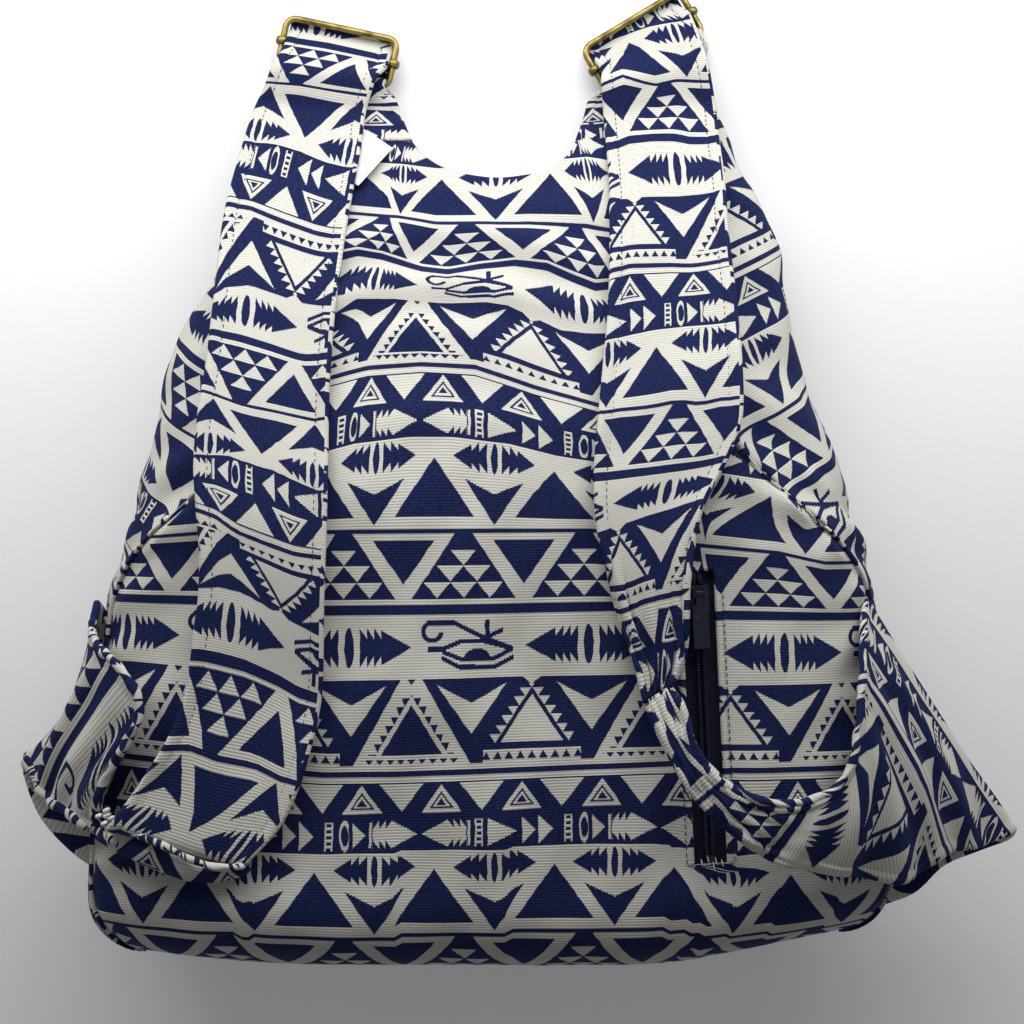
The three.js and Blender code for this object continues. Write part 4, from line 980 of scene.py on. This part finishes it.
tabFolds = {"wave": 1.7, "waveLength": 19, "crumpleWave": 40, "pleat": 0.9, "pleats": 6.5,
            "ply": 1.05, "hem": 1.7}


def addTab(name, tab):
    rows = []
    for ix, iy, iz, ox, oy, oz, place in tab["rows"]:
        rows.append([*fromPhoto(ix, iy, iz), iz, *fromPhoto(ox, oy, oz), oz, place])
    dense = curveThrough(rows, 700)
    edges, along = evenRows(dense[:, :6], 1.8)
    length = arcAlong((dense[:, :3] + dense[:, 3:6]) / 2)
    place = np.interp(along, length, dense[:, 6])
    places = bandPlaces(52)
    middle, width = acrossBand(edges, places)
    spread = np.clip(width / 60, 0, 1)
    foldAt = np.interp(tab["foldRow"] / (len(rows) - 1) * (len(dense) - 1), np.arange(len(dense)), length)
    upper = smoothStep(foldAt - along[:, None], 0, 26)
    nearFold = smoothStep(along[:, None], foldAt - 30, foldAt) * (4 * places * (1 - places))[None, :]
    middle = middle + tab["sag"] * nearFold[..., None] * np.array([0.9, -0.42, 0])
    lift = tab["bulge"] * spread * upper * 4 * places * (1 - places)
    calm = 0.2 + 0.8 * smoothStep(places[None, :] * width, 2, 26)
    waves = np.sin(2 * math.pi * along[:, None] / tabFolds["waveLength"] + 2.2 * places)
    lift = lift + calm * upper * spread * tabFolds["wave"] * waves
    crumple = ripple(along[:, None], places[None, :] * width, tabFolds["crumpleWave"], tab["seed"])
    lift = lift + calm * spread * crumple
    tight = smoothStep(1 - width / 46, 0.1, 0.6)
    pleats = 2 * math.pi * tabFolds["pleats"] * places[None, :] + along[:, None] / 9
    lift = lift + tabFolds["pleat"] * tight * np.sin(pleats)
    normals = gridNormals(middle)
    upward = np.sign(normals[len(normals) // 3, len(places) // 2, 2])
    middle = middle + normals * lift[..., None] * upward
    fromEdge = np.minimum(places, 1 - places)[None, :] * width
    half = hemHalf(fromEdge, tabFolds["ply"], tabFolds["hem"]) * np.minimum(1, 0.35 + width / 12)
    u = tab["uStart"] + tab["uTurn"] * places[None, :] * np.maximum(width, 44) * unitsPerMm * 1.05
    u = u + tab["uUnder"] * (along[:, None] > foldAt)
    foldIndex = int(np.argmin(np.abs(along - foldAt)))
    piece = clothBand(name, middle, half, clothUv(u, place[:, None]), foldIndex // 2)
    return piece, middle[:foldIndex + 1], place[:foldIndex + 1]


leftTabPiece, leftTabGrid, leftTabPlaces = addTab("left_tab_cloth", leftTab)
rightTabPiece, rightTabGrid, rightTabPlaces = addTab("right_tab_cloth", rightTab)
print("tabs folded")


# Shoulder pieces: cloth that narrows from the shoulder to the buckle's lower wire and turns back under it.
# Rows give the left and right edges as seen, and the level
shoulderPieces = {
    "left": ((270, 97, 393.5, 99, 14.5), (263, 117, 400, 118, 20), (256, 140, 410, 141, 28.5)),
    "right": ((592, 98, 700, 80, 14), (586, 116, 707, 104, 17.5), (577, 142, 716, 127, 26))}
loopWrap = {"half": 25.2, "place": -418, "floor": 4, "tuck": 4, "fold": 1.1, "foldWave": 15,
            "ply": 0.8, "hem": 1.15,
            "rows": ((-19, -3.1), (-12.5, -3.0), (-9.4, -1.5), (-8.9, 0), (-9.4, 1.5), (-12.5, 3.0))}


def addLoop(name, side):
    wrap = buckleRows(side, loopWrap["rows"], loopWrap["half"])
    floor, tuck = loopWrap["floor"], loopWrap["tuck"]
    top, low = [], []
    for xl, yl, xr, yr, level in shoulderPieces[side]:
        top.append([*fromPhoto(xl, yl, level), level, *fromPhoto(xr, yr, level), level])
        low.append([*fromPhoto(xl + tuck, yl, floor), floor, *fromPhoto(xr - tuck, yr, floor), floor])
    edges, along = evenRows(curveThrough([*low[::-1], *wrap, *top], 500), 1.5)
    places = bandPlaces(50)
    middle, width = acrossBand(edges, places)
    toEnd = along[-1] - along[:, None]
    waves = np.sin(2 * math.pi * (toEnd / loopWrap["foldWave"] + places[None, :] * 1.6))
    folds = loopWrap["fold"] * waves * smoothStep(toEnd, 2, 10)
    folds = folds * (1 - smoothStep(toEnd, 26, 34)) * (0.3 + 0.7 * np.abs(2 * places - 1)[None, :])
    middle[..., 2] = np.maximum(middle[..., 2] + folds, 1.2)
    fromEdge = np.minimum(places, 1 - places)[None, :] * width
    half = hemHalf(fromEdge, loopWrap["ply"], loopWrap["hem"])
    u = (middle[..., 0] - fishX) * unitsPerMm
    v = loopWrap["place"] - toEnd * unitsPerMm * 1.25
    return clothBand(name, middle, half, clothUv(u, v), len(along) - 4)


leftLoopPiece = addLoop("left_loop_cloth", "left")
rightLoopPiece = addLoop("right_loop_cloth", "right")


# Strip that closes the neckline and the shoulder ends between back and front
def addFacing():
    share = np.sin(np.linspace(-1, 1, 180) * math.pi / 2) * 0.999
    angle = np.arccos(np.clip(signedPower(share, body["section"] / 2), -1, 1))
    tops = necklineAt(share * halfWidthAt(body["neckSpreadY"]))
    upper = lieOfTheBag(bodyPoints(tops, angle, np.zeros(angle.shape)))
    lower = lieOfTheBag(bodyPoints(tops, -angle, np.zeros(angle.shape)))
    steps = np.linspace(0, 1, 9)[:, None, None]
    points = lower + (upper - lower) * steps
    points[..., 1] = points[..., 1] - 1.0 - 5 * 4 * steps[..., 0] * (1 - steps[..., 0])
    uv = clothUv(points[..., 0] * unitsPerMm, points[..., 2] * unitsPerMm + 20)
    return clothPanel("neckline_cloth", points[::-1], uv[::-1], 1.2)


facingPiece = addFacing()
for piece, node in ((leftStrapPiece, "left_strap"), (rightStrapPiece, "right_strap"),
                    (leftTabPiece, "left_anchor_tab"), (rightTabPiece, "right_anchor_tab"),
                    (leftLoopPiece, "left_shoulder_loop"), (rightLoopPiece, "right_shoulder_loop"),
                    (facingPiece, "neckline_facing")):
    fit(piece, "bag", "woven_cloth", clothMaterial, node)
print("loops and neckline sewn")


# Finish with a second shade worked in by noise and a fine grain; waves are in millimetres
def mixedFinish(name, first, second, wave, reach, roughness, metal=0.0, shine=0.15,
                grain=0.25, grainWave=0.5, stretch=(1, 1, 1)):
    material, shader = startFinish(name)
    place = addNode("TexCoord").outputs["Object"]
    drawn = addNode("Mapping", {"Vector": place, "Scale": stretch}).outputs[0]
    patches, fine = (addNode("TexNoise", {"Vector": drawn, "Scale": 1 / (size * mm), "Detail": 3}).outputs[0]
                     for size in (wave, grainWave))
    shades = addNode("ValToRGB", {0: patches})
    for k, shade in enumerate((first, second)):
        shades.color_ramp.elements[k].position = reach[k]
        shades.color_ramp.elements[k].color = (*shade, 1)
    gloss = addNode("MapRange", {"Value": fine, "To Min": roughness - 0.08, "To Max": roughness + 0.08})
    bump = addNode("Bump", {"Strength": grain, "Distance": 0.0002, "Height": fine})
    feed(shader, {"Metallic": metal, "Specular IOR Level": shine, "Base Color": shades.outputs[0],
                  "Roughness": gloss.outputs[0], "Normal": bump.outputs[0]})
    return material


brass = mixedFinish("antique_brass", (0.27, 0.21, 0.062), (0.06, 0.045, 0.015), 7, (0.42, 0.7), 0.33,
                    metal=1.0, shine=0.5)
navyTape = mixedFinish("zip_tape", (0.0055, 0.0065, 0.017), (0.012, 0.014, 0.034), 2, (0.35, 0.7), 0.85,
                       grain=0.6, grainWave=0.45, stretch=(0.5, 1.6, 1))
navyCoil = mixedFinish("zip_coil", (0.007, 0.009, 0.024), (0.016, 0.02, 0.045), 3, (0.4, 0.7), 0.38)
navyEnamel = mixedFinish("zip_enamel", (0.008, 0.01, 0.026), (0.06, 0.065, 0.08), 4, (0.62, 0.8), 0.36)
whiteCard = mixedFinish("tag_card", (0.87, 0.87, 0.86), (0.82, 0.82, 0.8), 6, (0.4, 0.7), 0.6, grain=0.12)
navyThread = mixedFinish("navy_thread", (0.016, 0.02, 0.052), (0.035, 0.042, 0.085), 2, (0.4, 0.7), 0.75)
paleThread = mixedFinish("pale_thread", (0.8, 0.79, 0.76), (0.62, 0.61, 0.57), 2, (0.4, 0.7), 0.7)
print("small finishes mixed")


# Buckles: a bent wire frame, and a bar crimped to flat eyes round the frame's arms
def addFrame(name, side):
    bpy.ops.object.select_all(action="DESELECT")
    bpy.ops.mesh.primitive_plane_add(size=2)
    piece = bpy.context.object
    piece.name = name
    piece.scale = (buckleSize["halfWidth"] * mm, buckleSize["halfHeight"] * mm, 1)
    bpy.ops.object.transform_apply(location=False, rotation=False, scale=True)
    bpy.ops.object.mode_set(mode="EDIT")
    bpy.ops.mesh.select_all(action="SELECT")
    bpy.ops.mesh.bevel(offset=buckleSize["corner"] * mm, segments=10, affect="VERTICES")
    bpy.ops.mesh.delete(type="ONLY_FACE")
    bpy.ops.object.mode_set(mode="OBJECT")
    bpy.ops.object.convert(target="CURVE")
    piece.data.bevel_depth = buckleSize["wire"] * mm
    piece.data.bevel_resolution = 6
    bpy.ops.object.convert(target="MESH")
    piece.data.transform(buckleMatrix(side))
    bpy.ops.object.shade_smooth()
    return piece


def addBar(name, side):
    bpy.ops.object.select_all(action="DESELECT")
    reach = buckleSize["halfWidth"] - buckleSize["eye"] - 1.6
    bpy.ops.mesh.primitive_cylinder_add(vertices=28, radius=buckleSize["bar"] * mm, depth=2 * reach * mm,
                                        rotation=(0, math.pi / 2, 0))
    piece = bpy.context.object
    piece.name = name
    bpy.ops.object.transform_apply(location=False, rotation=True, scale=False)
    # each end is drawn out and pressed flat where it meets its eye
    for sign in (-1, 1):
        bpy.ops.object.mode_set(mode="EDIT")
        bpy.ops.mesh.select_all(action="DESELECT")
        bpy.ops.object.mode_set(mode="OBJECT")
        for face in piece.data.polygons:
            face.select = face.normal.x * sign > 0.9
        bpy.ops.object.mode_set(mode="EDIT")
        bpy.ops.mesh.extrude_region_move(TRANSFORM_OT_translate={"value": (sign * 1.7 * mm, 0, 0)})
        bpy.ops.transform.resize(value=(1, 1.25, 0.8))
        bpy.ops.object.mode_set(mode="OBJECT")
    eyes = []
    for sign in (-1, 1):
        bpy.ops.mesh.primitive_torus_add(
            major_segments=36, minor_segments=14, rotation=(math.pi / 2, 0, 0),
            location=(sign * buckleSize["halfWidth"] * mm, 0, 0),
            major_radius=buckleSize["eye"] * mm, minor_radius=buckleSize["eyeWire"] * mm)
        eye = bpy.context.object
        bpy.ops.object.transform_apply(location=False, rotation=True, scale=False)
        eye.scale = (1, 2.4, 1)
        bpy.ops.object.transform_apply(location=True, rotation=False, scale=True)
        eyes.append(eye)
    pickOnly(piece)
    for eye in eyes:
        eye.select_set(True)
    bpy.ops.object.join()
    piece.data.transform(buckleMatrix(side))
    bpy.ops.object.shade_smooth_by_angle(angle=math.radians(40))
    return piece


for side in ("left", "right"):
    wire = addFrame(side + "_slider_frame", side)
    fit(wire, side + "_buckle", "antique_brass", brass, side + "_buckle_frame")
    fit(addBar(side + "_slider_bar", side), "bag", "antique_brass", brass, side + "_buckle_bar")
print("buckles bent")


# Zip: coils wound in place of the plain rods, and hems turned down along the slit
zipParts = {"coilLength": 120, "pitch": 1.15, "across": 1.3, "level": -1.7, "turnAcross": 0.8, "turnUp": 0.62,
            "wire": 0.34}


def inZip(points):
    turn = np.array(zipMatrix())
    return np.asarray(points, float) @ turn[:3, :3].T + turn[:3, 3] / mm


def addCoil(name, sign):
    turns = zipParts["coilLength"] / zipParts["pitch"]
    angle = np.arange(0, turns * 2 * math.pi, math.pi / 5)
    x = sign * (zipParts["across"] - zipParts["turnAcross"] * np.cos(angle))
    y = angle / (2 * math.pi) * zipParts["pitch"] - zipParts["coilLength"] / 2
    path = inZip(np.stack([x, y, zipParts["level"] + zipParts["turnUp"] * np.sin(angle)], axis=-1)) * mm
    curve = bpy.data.curves.new(name, "CURVE")
    curve.dimensions = "3D"
    spline = curve.splines.new("POLY")
    spline.points.add(len(path) - 1)
    spline.points.foreach_set("co", np.concatenate([path, np.ones((len(path), 1))], axis=1).ravel())
    curve.bevel_depth = zipParts["wire"] * mm
    curve.bevel_resolution = 1
    curve.use_fill_caps = True
    piece = bpy.data.objects.new(name, curve)
    scene.collection.objects.link(piece)
    pickOnly(piece)
    bpy.ops.object.convert(target="MESH")
    bpy.ops.object.shade_smooth()
    return bpy.context.object


for side, sign in (("left", -1), ("right", 1)):
    fit(addCoil("zip_" + side + "_teeth", sign), "bag", "zip_coil", navyCoil, "zip_coil_" + side)
for node, material in (("zip_tape_left", navyTape), ("zip_tape_right", navyTape),
                       ("zip_top_stop_left", navyEnamel), ("zip_top_stop_right", navyEnamel),
                       ("zip_bottom_stop", navyEnamel), ("zip_slider", navyEnamel), ("zip_pull", navyEnamel)):
    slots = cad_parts[node].data.materials
    slots.clear()
    slots.append(material)


# Hem strips along the slit, in the pattern of the panel beside them
def addSlitHem(name, sign):
    section = ((10.5, 0.1), (8.9, 0.35), (7.9, 0.3), (7.35, -0.2), (7.2, -1.2), (7.4, -2.7))
    stations = np.linspace(-1, 1, 90) * (zipPlace["length"] / 2 + 0.5)
    backUv = backPattern(backPoints).reshape(-1, 2)
    flat = backPoints.reshape(-1, 3)
    rows, uvRows = [], []
    for y in stations:
        side = inZip([(sign * x, y, z) for x, z in section])
        nearest = np.argsort(np.linalg.norm(flat[:, :2] - side[0, :2], axis=1))[:4]
        weights = 1 / (np.linalg.norm(flat[nearest, :2] - side[0, :2], axis=1) + 0.05)
        base = (backUv[nearest] * weights[:, None]).sum(axis=0) / weights.sum()
        lift = (flat[nearest, 2] * weights).sum() / weights.sum() - side[0, 2]
        side[:, 2] = side[:, 2] + lift * np.array([1, 1, 0.9, 0.7, 0.4, 0]) + 0.15
        reach = arcAlong(side)
        rows.append(side)
        uvRows.append(base + np.stack([-sign * reach * unitsPerMm * weave["scale"], 0 * reach], axis=-1))
    points, uv = np.array(rows), np.array(uvRows)
    if sign > 0:
        points, uv = points[:, ::-1], uv[:, ::-1]
    return clothPanel(name, points, uv, 0.5)


for side, sign in (("left", -1), ("right", 1)):
    fit(addSlitHem("slit_" + side + "_hem", sign), "bag", "woven_cloth", clothMaterial)
print("zip set in")


# Rolled hem: a slightly twisted tube of cloth along an edge, with the pattern's places along it
def addRoll(name, path, places, radius, uStart):
    length = arcAlong(path)
    stations = np.linspace(0, length[-1], int(length[-1] / 0.9))
    path = np.stack([np.interp(stations, length, path[:, k]) for k in range(3)], axis=1)
    along = np.interp(stations, length, places)
    forward = unit(np.gradient(path, axis=0))
    aside = unit(np.cross(forward, np.array([0, 0, 1.0])))
    up = np.cross(aside, forward)
    turns = np.linspace(0, 2 * math.pi, 13)
    swell = radius * (1 + 0.14 * np.sin(2 * turns[None, :] + stations[:, None] / 1.9)
                      + 0.10 * np.sin(stations[:, None] / 4.3))
    ends = np.minimum(1, 0.25 + np.minimum(stations, length[-1] - stations) / 3)
    swell = (swell * ends[:, None])[..., None]
    points = path[:, None] + swell * (np.cos(turns)[None, :, None] * aside[:, None]
                                      + np.sin(turns)[None, :, None] * up[:, None])
    u = uStart + turns[None, :] * radius * unitsPerMm * 1.6 + stations[:, None] * 1.9
    v = along[:, None] + turns[None, :] * 1.5
    return addTube(name, points[:, :-1], clothUv(u, v))


def seenPath(rows):
    return np.array([(*fromPhoto(px, py, level), level) for px, py, level in rows])


# Rolls: paths as seen with their level, and how fast the pattern runs along the left tab's rolls
rolls = {"raise": np.array([0, 0, 0.7]), "pace": 2.6,
         "gather": ((127, 841, 106), (116, 840, 110), (105, 834, 105)), "gatherPlaces": (306, 286, 268),
         "strapEnd": ((104, 825, 103), (118, 829, 113), (140, 836, 119), (164, 846, 121), (190, 859, 121.5),
                      (216, 867, 121.5), (247, 866, 120))}
outerPath = np.concatenate([seenPath(rolls["gather"]), leftTabGrid[2:, -1] + 2 * rolls["raise"]])
outerPlaces = np.concatenate([rolls["gatherPlaces"], leftTabPlaces[2:]]) * rolls["pace"]
endPath = curveThrough(seenPath(rolls["strapEnd"]), 120)
for name, path, places, radius, uStart in (
        ("right_tab_hem", rightTabGrid[2:-4, 0] + rolls["raise"], rightTabPlaces[2:-4], 1.8, 40),
        ("left_tab_hem", leftTabGrid[2:-2, 0] + rolls["raise"], leftTabPlaces[2:-2] * rolls["pace"], 2.1, 15),
        ("left_tab_outer_hem", outerPath, outerPlaces, 2.7, 75),
        ("left_strap_end_roll", endPath, np.linspace(20, 330, 120), 1.5, 60)):
    fit(addRoll(name, path, places, radius, uStart), "bag", "woven_cloth", clothMaterial)


# Hem strip that shows under the left strap's turned end: upper and lower edges as seen
leftStrip = {"level": 117, "half": 1.0, "uStart": 29.5, "vStart": 343,
             "rows": ((104, 826, 97, 838), (130, 834, 124, 853), (165, 849, 163, 871), (203, 862, 203, 881),
                      (236, 864, 240, 875), (247, 862, 250, 868))}


def addLeftStrip():
    rows = []
    for k, (xu, yu, xl, yl) in enumerate(leftStrip["rows"]):
        here = leftStrip["level"] - 12 * max(0, 1 - k / 1.5)  # lower where it starts
        rows.append([*fromPhoto(xu, yu, here), here, *fromPhoto(xl, yl, here - 2), here - 2])
    edges, along = evenRows(curveThrough(rows, 300), 1.4)
    places = np.linspace(0, 1, 11)
    middle, width = acrossBand(edges, places)
    crown = 1.2 * np.sin(math.pi * places)[None, :]
    middle[..., 2] = middle[..., 2] + crown + 0.7 * np.sin(along[:, None] / 3.1)
    u = leftStrip["uStart"] + along[:, None] * unitsPerMm
    v = leftStrip["vStart"] + places[None, :] * width * unitsPerMm
    half = np.full(middle.shape[:2], leftStrip["half"])
    return clothBand("left_strap_end_hem", middle, half, clothUv(u, v), len(along) // 2)


fit(addLeftStrip(), "bag", "woven_cloth", clothMaterial)
print("hems rolled")


# Stitches: small pointed grains of thread laid along lines on the cloth
def addStitches(name, lines, pitch, length, radius):
    points, faces = [], []
    for path, normals in lines:
        far = arcAlong(path)
        for station in np.arange(pitch / 2, far[-1] - pitch / 2, pitch):
            spots = [np.array([np.interp(station + step, far, path[:, k]) for k in range(3)])
                     for step in (-length / 2, -length / 4, length / 4, length / 2)]
            up = unit(np.array([np.interp(station, far, normals[:, k]) for k in range(3)]))
            aside = unit(np.cross(up, spots[3] - spots[0]))
            base = len(points)
            points.append(spots[0] - up * radius)
            for spot in spots[1:3]:
                points += [spot + step * radius for step in (aside, up, -aside, -up)]
            points.append(spots[3] - up * radius)
            for k in range(4):
                after = (k + 1) % 4
                faces.append([base, base + 1 + after, base + 1 + k])
                faces.append([base + 1 + k, base + 1 + after, base + 5 + after, base + 5 + k])
                faces.append([base + 9, base + 5 + k, base + 5 + after])
    return addMesh(name, points, faces)


threads = {"pitch": 3.1, "length": 2.4, "strap": 0.26, "slit": 0.25, "tack": 0.28, "barTack": 1.1}
upright = np.array([0, 0, 1.0])
seamLines = []
for grid in (leftStrapGrid, rightStrapGrid):
    normals = gridNormals(grid)
    normals = normals * np.sign(normals[len(grid) // 2, grid.shape[1] // 2, 2])
    for column in (5, -6):
        rows = slice(18, len(grid) - 14)
        seamLines.append(((grid + normals * 0.95)[rows, column], normals[rows, column]))
strapSeams = addStitches("strap_stitches", seamLines, threads["pitch"], threads["length"], threads["strap"])
fit(strapSeams, "bag", "woven_cloth", navyThread)
slitLines = []
for sign in (-1, 1):
    path = inZip([(sign * 10.8, y, 0.55) for y in np.linspace(-1, 1, 50) * zipPlace["length"] / 2])
    slitLines.append((path, np.tile(upright, (50, 1))))
slitSeams = addStitches("slit_stitches", slitLines, threads["pitch"], threads["length"], threads["slit"])
fit(slitSeams, "bag", "woven_cloth", navyThread)
tackLines = []
for step, slip in ((-4.6, 0.8), (-1.8, 2.1), (0.6, -0.7), (1.7, 1.2), (4.4, 0.3)):
    foot = -zipPlace["length"] / 2 + slip
    path = inZip([(step, foot + 2.0, 0.35), (step + 0.9, foot - 2.4, 0.5)])
    tackLines.append((path, np.tile(upright, (2, 1))))
fit(addStitches("slit_tack", tackLines, 4.4, 4.2, threads["tack"]), "bag", "woven_cloth", paleThread)
# bar tack where the left strap is gathered, as seen
gatherLines = []
for px, py, level in ((99, 816, 108), (106.5, 810.5, 109), (107, 815.5, 109), (111.5, 818.5, 109.5),
                      (104.5, 823.5, 109.5)):
    path = seenPath([(px + step * 5, py - step * 2.5, level) for step in (-1, 1)])
    gatherLines.append((path, np.tile(upright, (2, 1))))
barTack = addStitches("left_strap_tack", gatherLines, 4.6, 4.4, threads["barTack"])
fit(barTack, "bag", "woven_cloth", paleThread)
print("stitched")

# Blank swing tag: its right corner as seen, the far end under the left strap
swingTag = {"corner": (393.5, 151), "level": 27, "turn": 37, "long": 37, "short": 25.5, "lift": 3.3,
            "dip": 2.4, "thick": 0.5}


def addTag():
    bpy.ops.object.select_all(action="DESELECT")
    bpy.ops.mesh.primitive_grid_add(x_subdivisions=20, y_subdivisions=14, size=1)
    piece = bpy.context.object
    piece.name = "blank_tag"
    turn = math.radians(swingTag["turn"])
    cornerX, cornerY = fromPhoto(*swingTag["corner"], swingTag["level"])
    for vertex in piece.data.vertices:
        far = (0.5 - vertex.co.x) * swingTag["long"]
        down = (0.5 - vertex.co.y) * swingTag["short"]
        x = cornerX - far * math.cos(turn) - down * math.sin(turn)
        y = cornerY + far * math.sin(turn) - down * math.cos(turn)
        level = float(panelTop(x, min(y, 206))) + swingTag["lift"] + 0.5 * math.sin(far / 12)
        level = level - swingTag["dip"] * (far / swingTag["long"]) ** 2
        vertex.co = (x * mm, y * mm, level * mm)
    card = piece.modifiers.new("card", "SOLIDIFY")
    card.thickness = swingTag["thick"] * mm
    card.offset = 0
    trim = piece.modifiers.new("trim", "BEVEL")
    trim.width = 0.12 * mm
    trim.segments = 2
    applyAll(piece)
    bpy.ops.object.shade_smooth_by_angle(angle=math.radians(35))
    return piece


fit(addTag(), "bag", "tag_card", whiteCard, "swing_tag")
print("tag tucked in")


# Floor and light. The ground and the room are lifted only where they are seen, and so light the bag no more
def seenRays():
    sight = addNode("LightPath").outputs
    return Term(sight["Is Camera Ray"]) | Term(sight["Is Glossy Ray"]) | Term(sight["Is Transmission Ray"])


bpy.ops.object.select_all(action="DESELECT")
bpy.ops.mesh.primitive_plane_add(size=40, location=(0, 0, -0.001))
floor = bpy.context.object
floor.name = "floor"
floorMaterial, floorShader = startFinish("pale_floor")
# the ground pales away from the bag, as a studio sweep does
away = addNode("VectorMath", {0: addNode("TexCoord").outputs["Object"]}, operation="LENGTH")
sweep = addNode("MapRange", {"Value": away.outputs["Value"], "From Min": 0.55, "From Max": 3.5,
                             "To Min": 0.1, "To Max": 0.8}, interpolation_type="SMOOTHSTEP")
feed(floorShader, {"Base Color": (0.92, 0.92, 0.925), "Roughness": 0.8, "Emission Color": (0.98, 0.99, 1),
                   "Emission Strength": seenRays() * Term(sweep.outputs[0])})
floor.data.materials.append(floorMaterial)

lamps = ({"name": "window_light", "place": (-0.01, 0.48, 0.365), "aim": (0, -0.05, 0.05),
          "size": (1.35, 0.34), "power": 6.3},
         {"name": "fill_light", "place": (0.1, -0.3, 1.6), "aim": (0, 0, 0),
          "size": (1.6, 1.6), "power": 0.6})
for lamp in lamps:
    bpy.ops.object.light_add(type="AREA", location=lamp["place"])
    light = bpy.context.object
    light.name = lamp["name"]
    light.data.shape = "RECTANGLE"
    light.data.size, light.data.size_y = lamp["size"]
    light.data.energy = lamp["power"]
    light.rotation_euler = (Vector(lamp["aim"]) - Vector(lamp["place"])).to_track_quat("-Z", "Y").to_euler()
world = bpy.data.worlds.new("soft_room")
world.use_nodes = True
Term.tree = world.node_tree
feed(Term.tree.nodes["Background"], {"Color": (0.97, 0.98, 1.0), "Strength": seenRays() * 0.75 + 0.1})
scene.world = world
print("light set")
